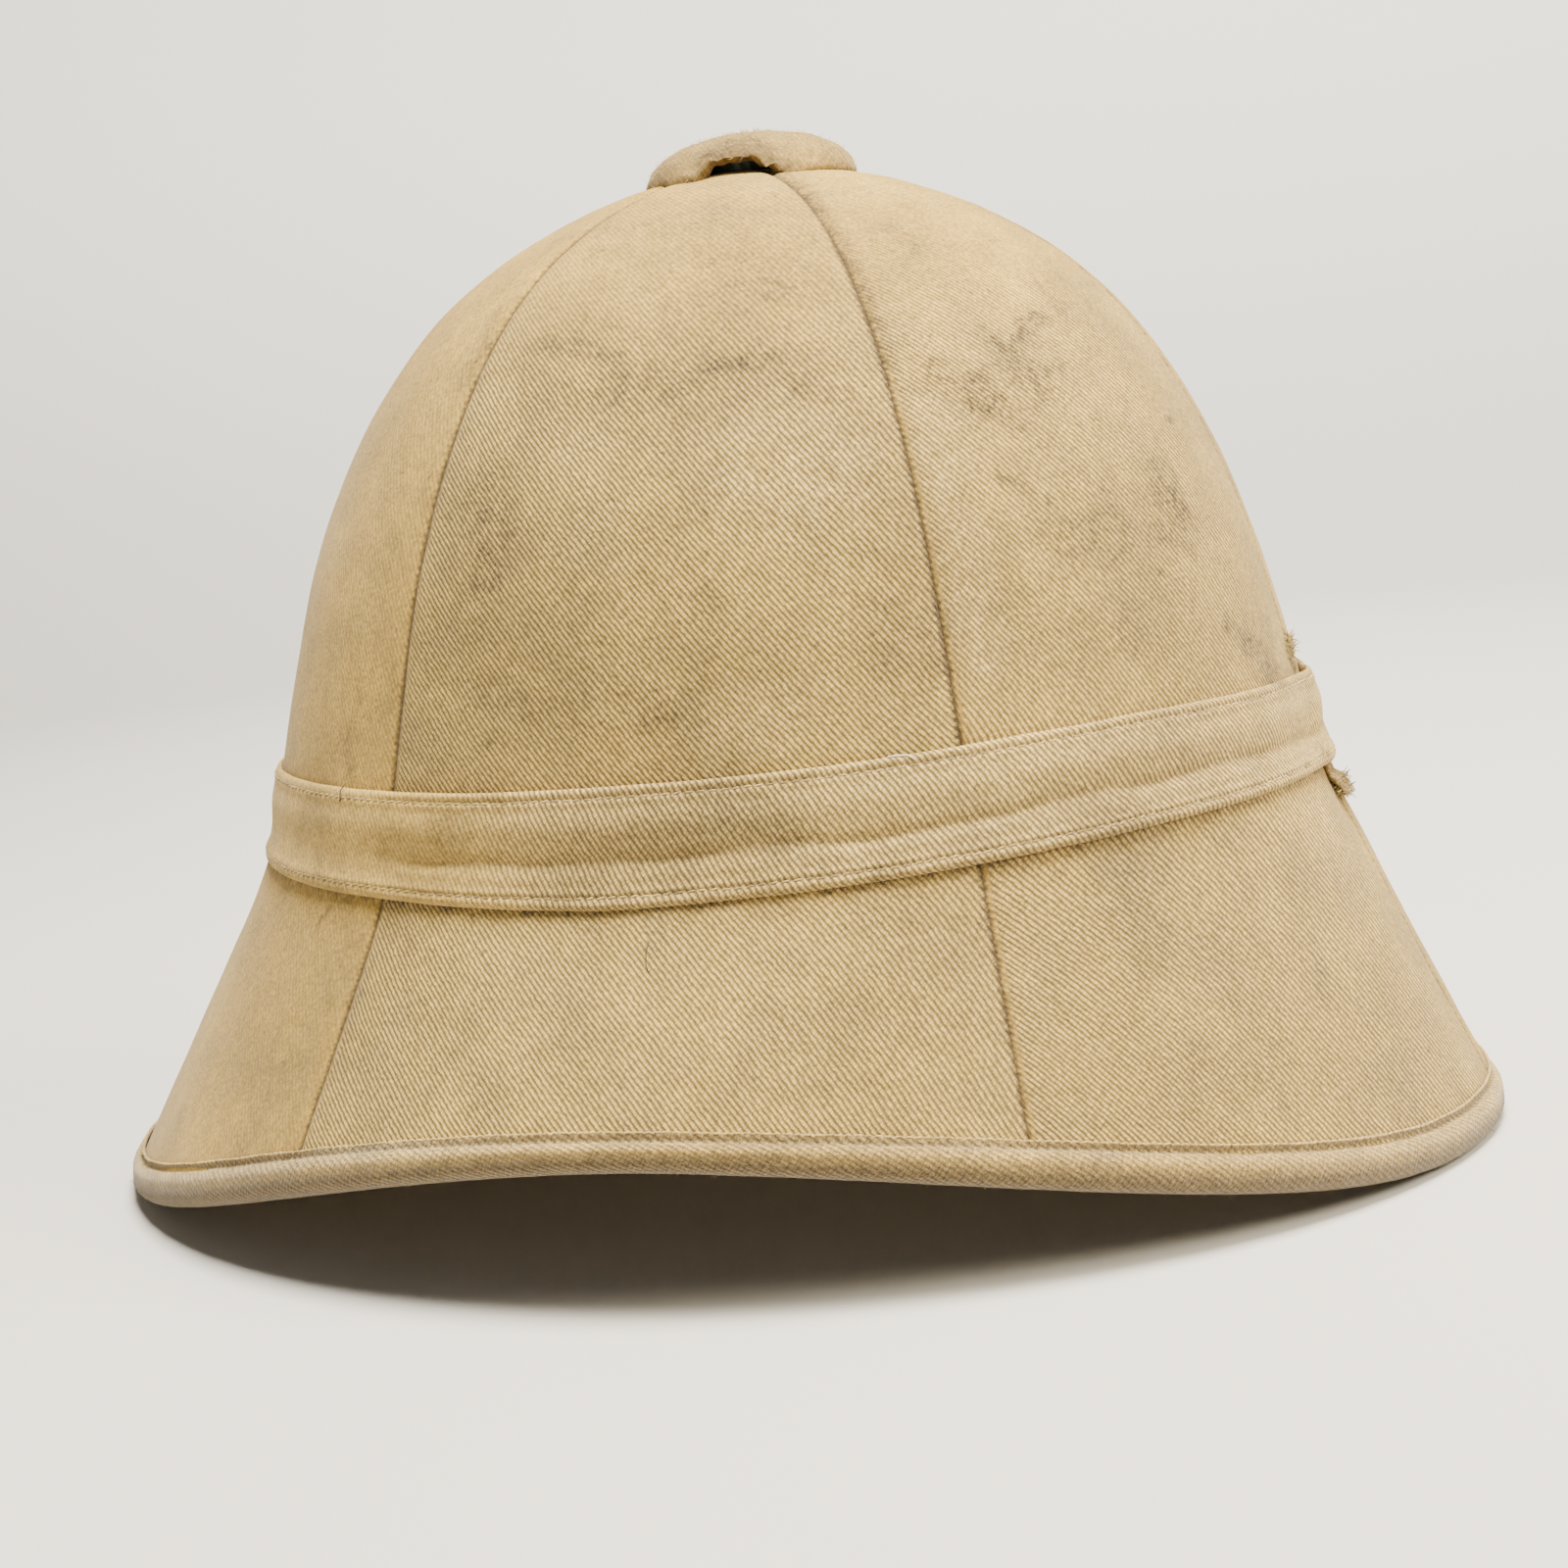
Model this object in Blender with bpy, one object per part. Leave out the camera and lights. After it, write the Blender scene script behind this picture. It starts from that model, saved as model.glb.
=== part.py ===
"""Sun helmet of moulded pith under six gores of cotton drill.

All sizes are in metres. +X points to the front peak, +Z up. The lowest stretches of
the bound brim, at the front and at the back, stand on the plane Z = 0.
"""

import math

import bmesh
import bpy
from mathutils import Vector

# Crown, measured on the outer face of its cloth
CROWN_HALF_LENGTH = 0.122
CROWN_HALF_WIDTH = 0.102
CROWN_TOP = 0.2235
CROWN_FOOT = 0.080
CROWN_LEAN = 0.003
FOOT_FRONT_RISE = 0.0016
FOOT_SIDE_DROP = 0.0043
DOME_FULLNESS = 3.6
DOME_ROUNDING = 2.08
DOME_SPLAY = 0.31
CROWN_SQUARENESS = 2.12

# Brim, measured from the crown's centre to the bound edge
BRIM_FRONT = 0.1564
BRIM_BACK = 0.1719
BRIM_HALF_WIDTH = 0.131
BRIM_SIDE_RISE = 0.030
BRIM_SQUARENESS = 1.84
FRONT_REST_ANGLE = math.radians(15)
SIDE_CREST_ANGLE = math.radians(91)
BACK_REST_ANGLE = math.radians(162)

# Walls and the small gap between pieces
PITH_WALL = 0.003
CLOTH = 0.001
GAP = 0.0003

# Folded band round the foot of the crown
BAND_HEIGHT = 0.0218
BAND_THICKNESS = 0.0022
BAND_FOOT_CLEARANCE = 0.0008

# Tape that binds the brim's edge
TAPE = 0.0011
TAPE_LEG = 0.0072
TAPE_FLAT_ANGLE = math.radians(18)
TAPE_EDGE_INSET = 0.0021

# Frayed strip of cloth tucked under the band on the front seam
STRIP_WIDTH = 0.011
STRIP_THICKNESS = 0.0010
STRIP_END = 0.0085
STRIP_FRAY = 0.0022
BAND_BULGE_RUN = 0.005

# Ventilator: a metal neck with a flange, under a cloth-covered cap
NECK_RADIUS = 0.009
NECK_WALL = 0.0008
NECK_BELOW = 0.006
FLANGE_RADIUS = 0.0165
FLANGE_THICKNESS = 0.0008
CAP_RADIUS = 0.0245
CAP_HEIGHT = 0.0123
CAP_WALL = 0.0026
CAP_ROUNDING = 2.25
CAP_SET_BACK = 0.0015
TEAR_ANGLE = math.radians(-84)
TEAR_HALF_WIDTH = math.radians(25)
TEAR_HEIGHT = 0.0080

# How finely the faceted pieces are divided
GORES = 6
COLUMNS_PER_GORE = 8
CROWN_ROWS = 10
BAND_ROWS = 2
BRIM_ROWS = 4
NECK_SIDES = 24
CAP_SIDES = 28

# What follows from the sizes above
COLUMNS = GORES * COLUMNS_PER_GORE
ROW_COUNT = CROWN_ROWS + BAND_ROWS + BRIM_ROWS
CROWN_CENTRE = (BRIM_BACK - BRIM_FRONT) / 2
NECK_HOLE_RADIUS = NECK_RADIUS + GAP
COVER_HOLE_RADIUS = NECK_HOLE_RADIUS + 2 * CLOTH
WALL = CLOTH + GAP + PITH_WALL
TAPE_RADIUS = WALL / 2 + GAP + TAPE
BAND_TOP_RISE = BAND_HEIGHT / (CROWN_TOP - CROWN_FOOT)
NUDGE = 1e-4
UP = Vector((0, 0, 1))
CAP_CENTRE = Vector((CROWN_CENTRE + CROWN_LEAN - CAP_SET_BACK, 0, 0))

# Band section from its lower to its upper edge. Each row has the share of the band's
# height and the share of its thickness there: hem, stitched groove, lower roll,
# crease, upper roll, stitched groove, hem.
BAND_SECTION = (
    {"height": 0.00, "thickness": 0.45},
    {"height": 0.03, "thickness": 1.00},
    {"height": 0.14, "thickness": 1.00},
    {"height": 0.18, "thickness": 0.70},
    {"height": 0.36, "thickness": 0.50},
    {"height": 0.62, "thickness": 0.95},
    {"height": 0.82, "thickness": 0.65},
    {"height": 0.86, "thickness": 0.90},
    {"height": 1.00, "thickness": 0.60},
)

# Outer leg of the tape from its upper edge down. Each row has the share of the leg's
# length above the wall's end and the share of the tape's thickness: folded edge,
# stitched groove, roll.
TAPE_OUTER_SECTION = (
    {"length": 1.00, "thickness": 0.45},
    {"length": 0.96, "thickness": 0.80},
    {"length": 0.74, "thickness": 0.80},
    {"length": 0.66, "thickness": 0.40},
    {"length": 0.52, "thickness": 1.05},
)

# The strip's rows from its upper to its lower end. Each has the share of the end's
# length, how far the frayed end lifts as a share of the fray, and its thickness as a
# share of the strip's thickness.
STRIP_UPPER_ROWS = (
    {"length": 1.00, "lift": 0.45, "thickness": 0.60},
    {"length": 0.78, "lift": 0.75, "thickness": 1.60},
    {"length": 0.45, "lift": 0.35, "thickness": 1.50},
)
STRIP_LOWER_ROWS = (
    {"length": 0.40, "lift": 0.45, "thickness": 1.60},
    {"length": 0.75, "lift": 1.00, "thickness": 1.90},
    {"length": 1.00, "lift": 1.10, "thickness": 1.10},
)


def signed_power(value, power):
    return math.copysign(abs(value) ** power, value)


def smooth_step(share):
    share = min(max(share, 0.0), 1.0)
    return share * share * (3 - 2 * share)


def oval(half_length, half_width, angle, squareness):
    """Point of a superellipse in plan: a squareness of 2 is a plain ellipse."""
    power = 2 / squareness
    x = half_length * signed_power(math.cos(angle), power)
    y = half_width * signed_power(math.sin(angle), power)
    return Vector((x, y, 0))


def dome_radius(rise):
    """The crown's radius at a share of its height, as a share of the foot's."""
    splay = (1 + DOME_SPLAY * (1 - rise)) / (1 + DOME_SPLAY)
    return max(1 - rise**DOME_FULLNESS, 0) ** (1 / DOME_ROUNDING) * splay


def rise_of_radius(share):
    """The share of the crown's height at which it has this share of its radius."""
    low, high = 0.0, 1.0
    for _ in range(50):
        middle = (low + high) / 2
        if dome_radius(middle) > share:
            low = middle
        else:
            high = middle
    return (low + high) / 2


def crown_point(angle, rise):
    """Point of the crown's cloth at a share of its height."""
    radius = dome_radius(rise)
    squareness = 2 + (CROWN_SQUARENESS - 2) * (1 - rise)
    plan = oval(CROWN_HALF_LENGTH * radius, CROWN_HALF_WIDTH * radius, angle, squareness)
    foot = FOOT_FRONT_RISE * plan.x / CROWN_HALF_LENGTH
    foot -= FOOT_SIDE_DROP * math.sin(angle) ** 2
    height = CROWN_FOOT + (CROWN_TOP - CROWN_FOOT) * rise + foot * (1 - rise)
    return plan + Vector((CROWN_CENTRE + CROWN_LEAN * rise, 0, height))


def top_height(x, y):
    """Height of the cloth near the top of the crown, over a point in plan."""
    middle = CROWN_CENTRE + CROWN_LEAN
    share = math.hypot((x - middle) / CROWN_HALF_LENGTH, y / CROWN_HALF_WIDTH)
    return CROWN_FOOT + (CROWN_TOP - CROWN_FOOT) * rise_of_radius(share)


def edge_point(angle):
    """Lowest outer line of the bound brim: flat at front and back, raised at the sides."""
    length = BRIM_FRONT if math.cos(angle) > 0 else BRIM_BACK
    plan = oval(length, BRIM_HALF_WIDTH, angle, BRIM_SQUARENESS)
    turn = abs(math.remainder(angle, 2 * math.pi))
    front = (turn - FRONT_REST_ANGLE) / (SIDE_CREST_ANGLE - FRONT_REST_ANGLE)
    back = (BACK_REST_ANGLE - turn) / (BACK_REST_ANGLE - SIDE_CREST_ANGLE)
    lift = BRIM_SIDE_RISE * smooth_step(min(front, back))
    return plan + Vector((CROWN_CENTRE, 0, lift))


def edge_frame(angle):
    """Middle of the wall's end at the brim's edge, the way down the slope, the way out
    of the cloth, and the cloth's last point."""
    edge = edge_point(angle)
    along = (edge_point(angle + NUDGE) - edge_point(angle - NUDGE)).normalized()
    sideways = Vector((along.y, -along.x, 0)).normalized()
    height = TAPE_RADIUS * math.cos(TAPE_FLAT_ANGLE)
    middle = edge + UP * height - sideways * TAPE_EDGE_INSET
    foot = crown_point(angle, 0)
    last = middle
    for _ in range(4):
        out = (last - foot).cross(along).normalized()
        last = middle + out * (WALL / 2)
    return middle, along.cross(out), out, last


def cover_point(angle, station):
    """Point of the cloth: stations 0 to 1 run from the ventilator's hole to the band's
    top, 1 to 2 down behind the band, and 2 to 3 down the brim to its edge."""
    if station > 2:
        last = edge_frame(angle)[3]
        return crown_point(angle, 0).lerp(last, station - 2)
    hole = math.sqrt(1 - rise_of_radius(COVER_HOLE_RADIUS / CROWN_HALF_LENGTH))
    band = math.sqrt(1 - BAND_TOP_RISE)
    if station > 1:
        spread = band + (1 - band) * (station - 1)
        return crown_point(angle, 1 - spread**2)
    if station * CROWN_ROWS >= 1:
        spread = hole + (band - hole) * station
        return crown_point(angle, 1 - spread**2)
    x = CROWN_CENTRE + CROWN_LEAN + COVER_HOLE_RADIUS * math.cos(angle)
    y = COVER_HOLE_RADIUS * math.sin(angle)
    round_hole = Vector((x, y, top_height(x, y)))
    return round_hole.lerp(cover_point(angle, 1 / CROWN_ROWS), station * CROWN_ROWS)


def cover_normal(angle, station):
    if station >= 3:
        return edge_frame(angle)[2]
    before = max(station - NUDGE, 0)
    down = cover_point(angle, station + NUDGE) - cover_point(angle, before)
    along = cover_point(angle + NUDGE, station) - cover_point(angle - NUDGE, station)
    return down.cross(along).normalized()


def on_cover(angle, station, height=0.0):
    """Point at a height above the outer face of the cloth, or below it if negative."""
    return cover_point(angle, station) + cover_normal(angle, station) * height


def leg_share(angle):
    """The tape's leg as a share of the brim's slope at this angle."""
    return TAPE_LEG / (cover_point(angle, 3) - cover_point(angle, 2)).length


def wall_station(angle, row):
    """The station of a row of the wall. The last row but one lies where the tape's
    leg ends."""
    if row < CROWN_ROWS:
        return row / CROWN_ROWS
    if row < CROWN_ROWS + BAND_ROWS:
        return 1 + (row - CROWN_ROWS) / BAND_ROWS
    if row == ROW_COUNT:
        return 3
    down = (row - CROWN_ROWS - BAND_ROWS) / (BRIM_ROWS - 1)
    return 2 + (1 - leg_share(angle)) * down


def skin(mesh, rings, closed, mirrored=lambda number, index: False):
    """Joins rings of points with triangles, end to end if closed, and returns their
    vertices. The cells that are mirrored have the other diagonal, so that the two
    faces of a wall stay parallel."""
    loops = [[mesh.verts.new(point) for point in ring] for ring in rings]
    for number in range(len(loops) if closed else len(loops) - 1):
        ring = loops[number]
        following = loops[(number + 1) % len(loops)]
        for index in range(len(ring)):
            after = (index + 1) % len(ring)
            cell = [ring[index], ring[after], following[after], following[index]]
            if mirrored(number, index):
                cell = cell[1:] + cell[:1]
            mesh.faces.new((cell[0], cell[1], cell[2]))
            mesh.faces.new((cell[0], cell[2], cell[3]))
    return loops


def close_with_point(mesh, ring, point, outward_first):
    tip = mesh.verts.new(point)
    for index, vertex in enumerate(ring):
        after = ring[(index + 1) % len(ring)]
        mesh.faces.new((vertex, after, tip) if outward_first else (after, vertex, tip))


def make_material(name, colour, roughness, metallic):
    material = bpy.data.materials.new(name)
    material.use_nodes = True
    shader = material.node_tree.nodes["Principled BSDF"]
    shader.inputs["Base Color"].default_value = (*colour, 1)
    shader.inputs["Roughness"].default_value = roughness
    shader.inputs["Metallic"].default_value = metallic
    return material


def make_object(name, mesh, material, smooth_angle=math.radians(40)):
    bmesh.ops.recalc_face_normals(mesh, faces=mesh.faces)
    if mesh.calc_volume(signed=True) < 0:
        bmesh.ops.reverse_faces(mesh, faces=mesh.faces)
    data = bpy.data.meshes.new(name)
    mesh.to_mesh(data)
    mesh.free()
    data.shade_smooth()
    data.set_sharp_from_angle(angle=smooth_angle)
    data.materials.append(material)
    made = bpy.data.objects.new(name, data)
    bpy.context.scene.collection.objects.link(made)
    return made


def make_pith_shell(material):
    """The moulded wall of crown and brim in one, open below and at the ventilator."""
    angles = [2 * math.pi * column / COLUMNS for column in range(COLUMNS)]
    rows = [(row, -(CLOTH + GAP)) for row in range(ROW_COUNT + 1)]
    rows += [(row, -WALL) for row in reversed(range(ROW_COUNT + 1))]
    rings = []
    for row, height in rows:
        rings.append([on_cover(a, wall_station(a, row), height) for a in angles])
    mesh = bmesh.new()
    skin(mesh, rings, closed=True, mirrored=lambda number, index: number > ROW_COUNT)
    return make_object("pith_shell", mesh, material)


def gore_angles(gore, row):
    """Angles across one gore, which stops half a gap short of each seam."""
    first = 2 * math.pi * gore / GORES
    last = 2 * math.pi * (gore + 1) / GORES
    step = (last - first) / COLUMNS_PER_GORE
    angles = [first + step * column for column in range(COLUMNS_PER_GORE + 1)]
    for index, way in ((0, 1), (-1, -1)):
        seam = angles[index]
        station = wall_station(seam, row)
        near = cover_point(seam + way * NUDGE, station)
        pace = (near - cover_point(seam, station)).length / NUDGE
        angles[index] = seam + way * GAP / 2 / pace
    return angles


def make_gore(gore, material):
    """One gore of drill, from the ventilator over crown and brim to the bound edge."""
    rings = []
    for row in range(ROW_COUNT + 1):
        angles = gore_angles(gore, row)
        outer = [on_cover(a, wall_station(a, row)) for a in angles]
        inner = [on_cover(a, wall_station(a, row), -CLOTH) for a in reversed(angles)]
        rings.append(outer + inner)
    mesh = bmesh.new()
    loops = skin(mesh, rings, False, lambda number, index: index > COLUMNS_PER_GORE)
    for loop in (loops[0], loops[-1]):
        for index in range(COLUMNS_PER_GORE):
            mirror = len(loop) - 1 - index
            mesh.faces.new((loop[index], loop[index + 1], loop[mirror - 1], loop[mirror]))
    return make_object(f"cover_gore_{gore + 1}", mesh, material)


def strip_angle(distance, station):
    """The angle that lies this far sideways from the front seam."""
    pace = (cover_point(NUDGE * 50, station) - cover_point(0, station)).length
    return distance / pace * NUDGE * 50


def band_angles():
    """The cloth's columns, with more where the band bulges over the strip."""
    covered = strip_angle(STRIP_WIDTH / 2 + CLOTH, 1.5)
    run_out = covered + strip_angle(BAND_BULGE_RUN, 1.5)
    step = 2 * math.pi / COLUMNS
    angles = {column * step for column in range(1, COLUMNS)}
    clear = [angle for angle in angles if run_out < angle < 2 * math.pi - run_out]
    extra = [0, covered, run_out, 2 * math.pi - run_out, 2 * math.pi - covered]
    return sorted(clear + extra), covered, run_out


def make_hat_band(material):
    """The folded band, whose section rolls twice between its stitched hems."""
    angles, covered, run_out = band_angles()
    slope = (cover_point(0, 1) - cover_point(0, 2)).length
    lowest = BAND_FOOT_CLEARANCE / slope
    rings = []
    for angle in angles:
        turn = abs(math.remainder(angle, 2 * math.pi))
        over = smooth_step((run_out - turn) / (run_out - covered))
        seat = GAP + over * (STRIP_THICKNESS + GAP)
        section = []
        for row in BAND_SECTION:
            station = 2 - lowest - (1 - lowest) * row["height"]
            height = seat + BAND_THICKNESS * row["thickness"]
            section.append(on_cover(angle, station, height))
        for share in (1.0, 0.5, 0.0):
            station = 2 - lowest - (1 - lowest) * share
            section.append(on_cover(angle, station, seat))
        rings.append(section)
    mesh = bmesh.new()
    skin(mesh, rings, closed=True)
    return make_object("hat_band", mesh, material)


def tape_section(angle):
    """Outline of the tape folded round the wall's end, in one radial plane."""
    middle, slope, out, _ = edge_frame(angle)
    inside = WALL / 2 + GAP
    leg = leg_share(angle)

    def at(length, height):
        return on_cover(angle, 3 - leg * length, height)

    def around(turn, radius):
        return middle + (out * math.cos(turn) + slope * math.sin(turn)) * radius

    lowest = math.atan2(-slope.z, -out.z)
    section = [at(1, GAP)]
    for row in TAPE_OUTER_SECTION:
        section.append(at(row["length"], GAP + TAPE * row["thickness"]))
    section.append(around(0, TAPE_RADIUS))
    section.append(around((lowest - TAPE_FLAT_ANGLE) / 2, TAPE_RADIUS))
    section.append(around(lowest - TAPE_FLAT_ANGLE, TAPE_RADIUS))
    section.append(around(lowest + TAPE_FLAT_ANGLE, TAPE_RADIUS))
    section.append(around(math.pi, TAPE_RADIUS))
    section.append(at(1, -WALL - GAP - TAPE))
    section.append(at(1, -WALL - GAP))
    section += [around(math.radians(turn), inside) for turn in (180, 120, 60, 0)]
    return section


def make_brim_binding(material):
    rings = []
    for column in range(COLUMNS):
        rings.append(tape_section(2 * math.pi * column / COLUMNS))
    mesh = bmesh.new()
    last = len(rings[0]) - 1
    skin(mesh, rings, closed=True, mirrored=lambda number, index: index == last)
    return make_object("brim_binding", mesh, material)


def make_frayed_strip(material):
    """The strip on the front seam: hidden by the band, with both raw ends showing."""
    slope_above = (cover_point(0, 0.9) - cover_point(0, 1)).length / 0.1
    slope_below = (cover_point(0, 2.1) - cover_point(0, 2)).length / 0.1
    rows = []
    for row in STRIP_UPPER_ROWS:
        station = 1 - STRIP_END * row["length"] / slope_above
        rows.append((station, row["lift"], row["thickness"]))
    rows += [(1, 0, 1), (1.5, 0, 1), (2, 0, 1)]
    for row in STRIP_LOWER_ROWS:
        station = 2 + STRIP_END * row["length"] / slope_below
        rows.append((station, row["lift"], row["thickness"]))
    rings = []
    for station, lift, thickness in rows:
        low = GAP + STRIP_FRAY * lift
        high = low + STRIP_THICKNESS * thickness
        half = strip_angle(STRIP_WIDTH / 2, station)
        ring = [on_cover(turn, station, high) for turn in (-half, 0, half)]
        ring += [on_cover(turn, station, low) for turn in (half, 0, -half)]
        rings.append(ring)
    mesh = bmesh.new()
    loops = skin(mesh, rings, closed=False)
    for loop in (loops[0], loops[-1]):
        mesh.faces.new((loop[0], loop[1], loop[4], loop[5]))
        mesh.faces.new((loop[1], loop[2], loop[3], loop[4]))
    return make_object("frayed_strip", mesh, material)


def turned_rings(profile, sides, centre):
    """Rings of a turned profile of (radius, height) points, top to bottom outside."""
    rings = []
    for radius, height in profile:
        ring = []
        for side in range(sides):
            angle = 2 * math.pi * side / sides
            x = centre + radius * math.cos(angle)
            ring.append(Vector((x, radius * math.sin(angle), height)))
        rings.append(ring)
    return rings


def cap_point(angle, share, shrink, lift):
    """Point of the cap's dome: share 0 at the rim and 1 at the top, with its wall
    taken off by shrink and its rim raised by lift. The rim follows the cloth."""
    plan = Vector((math.cos(angle), math.sin(angle), 0))
    radius = CAP_RADIUS - shrink
    rim = CAP_CENTRE + plan * (CAP_RADIUS - CAP_WALL)
    seat = top_height(rim.x, rim.y) + GAP
    height = CROWN_TOP + CAP_HEIGHT - shrink - seat
    first = math.asin(min((lift / height) ** (CAP_ROUNDING / 2), 1))
    turn = first + (math.pi / 2 - first) * share
    power = 2 / CAP_ROUNDING
    reach = radius * abs(math.cos(turn)) ** power
    rise = height * math.sin(turn) ** power
    return CAP_CENTRE + plan * reach + UP * (seat + rise)


def tear_lift(angle):
    """How far the tear raises the rim at this angle."""
    away = abs(math.remainder(angle - TEAR_ANGLE, 2 * math.pi)) / TEAR_HALF_WIDTH
    return TEAR_HEIGHT * math.sqrt(max(1 - away * away, 0))


def cap_angles():
    """Evenly spaced angles, of which two are moved to the ends of the tear."""
    step = 2 * math.pi / CAP_SIDES
    first = TEAR_ANGLE - TEAR_HALF_WIDTH
    return [first + step * side for side in range(CAP_SIDES)]


def make_vent_cap(material):
    """Hollow padded cap, torn open on one side of its rim."""
    outer_shares = (0, 0.18, 0.36, 0.55, 0.75, 0.9)
    inner_shares = (0.85, 0.55, 0.25, 0)
    rings = []
    for share in reversed(outer_shares):
        rings.append([cap_point(a, share, 0, tear_lift(a)) for a in cap_angles()])
    for share in reversed(inner_shares):
        rings.append([cap_point(a, share, CAP_WALL, tear_lift(a)) for a in cap_angles()])
    mesh = bmesh.new()
    loops = skin(mesh, rings, closed=False)
    close_with_point(mesh, loops[0], cap_point(0, 1, 0, 0), True)
    close_with_point(mesh, loops[-1], cap_point(0, 1, CAP_WALL, 0), False)
    return make_object("vent_cap", mesh, material)


def make_vent_neck(material):
    """Metal neck through the crown, its flange on the cloth, open to the air."""
    centre = CROWN_CENTRE + CROWN_LEAN
    seat = top_height(centre + COVER_HOLE_RADIUS, 0) + GAP
    reach = (NECK_RADIUS + CAP_SET_BACK) / (CAP_RADIUS - CAP_WALL)
    roof = cap_point(0, 1, CAP_WALL, 0).z
    rim = cap_point(0, 0, CAP_WALL, 0).z
    top = rim + (roof - rim) * (1 - reach**CAP_ROUNDING) ** (1 / CAP_ROUNDING) - 2 * GAP
    bottom = seat - WALL - NECK_BELOW
    bore = NECK_RADIUS - NECK_WALL
    profile = (
        (NECK_RADIUS, top),
        (NECK_RADIUS, seat + FLANGE_THICKNESS),
        (FLANGE_RADIUS, seat + FLANGE_THICKNESS),
        (FLANGE_RADIUS, seat),
        (NECK_RADIUS, seat),
        (NECK_RADIUS, bottom),
        (bore, bottom),
        (bore, top),
    )
    mesh = bmesh.new()
    skin(mesh, turned_rings(profile, NECK_SIDES, centre), closed=True)
    return make_object("vent_neck", mesh, material)


def main():
    for old in list(bpy.data.objects):
        bpy.data.objects.remove(old)
    pith = make_material("pith", (0.52, 0.42, 0.28), 0.9, 0)
    drill = make_material("cotton_drill", (0.56, 0.45, 0.28), 0.9, 0)
    tape = make_material("binding_tape", (0.53, 0.43, 0.28), 0.9, 0)
    metal = make_material("vent_metal", (0.20, 0.23, 0.19), 0.5, 0.8)
    make_pith_shell(pith)
    for gore in range(GORES):
        make_gore(gore, drill)
    make_hat_band(drill)
    make_brim_binding(tape)
    make_frayed_strip(drill)
    make_vent_neck(metal)
    make_vent_cap(drill)


main()
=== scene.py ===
# %% [markdown]
# This lesson dresses a sun helmet: six gores of cotton drill glued over moulded pith,
# a folded band, a bound brim and a small padded cap over the ventilator. The packed
# solids give every size. Each soft piece starts as a copy of its solid, which is
# merged, refined and worked over, so the detailed piece stays where the solid is.

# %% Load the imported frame
import math
import random

import bpy
import numpy as np
from mathutils import Matrix, Vector, noise
from mathutils.bvhtree import BVHTree


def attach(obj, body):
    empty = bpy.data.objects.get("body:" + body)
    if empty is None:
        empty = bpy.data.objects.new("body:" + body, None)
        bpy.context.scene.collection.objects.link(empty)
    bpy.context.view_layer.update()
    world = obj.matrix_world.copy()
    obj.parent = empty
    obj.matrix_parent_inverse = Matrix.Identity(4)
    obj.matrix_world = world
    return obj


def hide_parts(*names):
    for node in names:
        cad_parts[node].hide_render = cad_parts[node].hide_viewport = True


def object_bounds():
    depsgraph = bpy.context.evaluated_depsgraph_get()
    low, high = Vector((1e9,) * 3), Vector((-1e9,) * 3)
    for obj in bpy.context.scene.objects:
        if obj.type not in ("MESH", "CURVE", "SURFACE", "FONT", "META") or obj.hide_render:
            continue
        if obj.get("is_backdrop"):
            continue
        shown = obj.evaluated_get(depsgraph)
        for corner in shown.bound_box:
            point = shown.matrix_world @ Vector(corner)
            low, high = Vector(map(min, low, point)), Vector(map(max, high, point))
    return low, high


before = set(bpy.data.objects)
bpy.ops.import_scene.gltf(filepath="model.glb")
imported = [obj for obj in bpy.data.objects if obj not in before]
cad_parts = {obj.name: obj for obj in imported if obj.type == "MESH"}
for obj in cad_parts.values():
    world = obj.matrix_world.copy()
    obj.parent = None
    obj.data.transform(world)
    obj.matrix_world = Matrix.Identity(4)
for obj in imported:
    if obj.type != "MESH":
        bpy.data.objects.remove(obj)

for leftover in ("Cube", "Camera", "Light"):
    if leftover in bpy.data.objects:
        bpy.data.objects.remove(bpy.data.objects[leftover])
bpy.context.view_layer.update()
CAD_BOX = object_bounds()
print("nodes:", len(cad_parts), "box:", [tuple(round(c, 4) for c in p) for p in CAD_BOX])

# %% [markdown]
# The camera stands where a person would hold one to look at the helmet's side, a little
# in front of it. Its place and its three directions were worked out by fitting the
# helmet's outline, so they are plain numbers here rather than aimed by eye.

# %% Camera
EYE = Vector((0.176488, -0.566379, 0.163915))
TO_RIGHT = Vector((0.957036, 0.272962, -0.097847))
TO_TOP = Vector((0.055723, 0.158026, 0.985861))
FORWARD = Vector((-0.284566, 0.948957, -0.136026))
LENS = 58.5


def turned_to(place, right, top, back):
    """A placing whose X, Y and Z point along the three directions."""
    rows = [[right[i], top[i], back[i], place[i]] for i in range(3)]
    return Matrix(rows + [[0, 0, 0, 1]])


camera = bpy.data.objects.new("camera", bpy.data.cameras.new("camera"))
bpy.context.scene.collection.objects.link(camera)
camera.data.lens = LENS
camera.data.sensor_width = 36
camera.matrix_world = turned_to(EYE, TO_RIGHT, TO_TOP, -FORWARD)
bpy.context.scene.camera = camera
print("camera is", round((EYE - Vector((0, 0, 0.12))).length, 3), "m from the helmet")

# %% [markdown]
# A photographer's sweep has no corner between floor and wall. Here it is a shallow bowl:
# a disc whose rim is extruded outwards and upwards in small steps along a quarter circle,
# so that no horizon shows from any side.

# %% Small helpers for choosing what an operator acts on


def only(*objects):
    """Selects these objects alone and makes the first of them active."""
    if bpy.context.object and bpy.context.object.mode != "OBJECT":
        bpy.ops.object.mode_set(mode="OBJECT")
    bpy.ops.object.select_all(action="DESELECT")
    for thing in objects:
        thing.select_set(True)
    bpy.context.view_layer.objects.active = objects[0]


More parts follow.
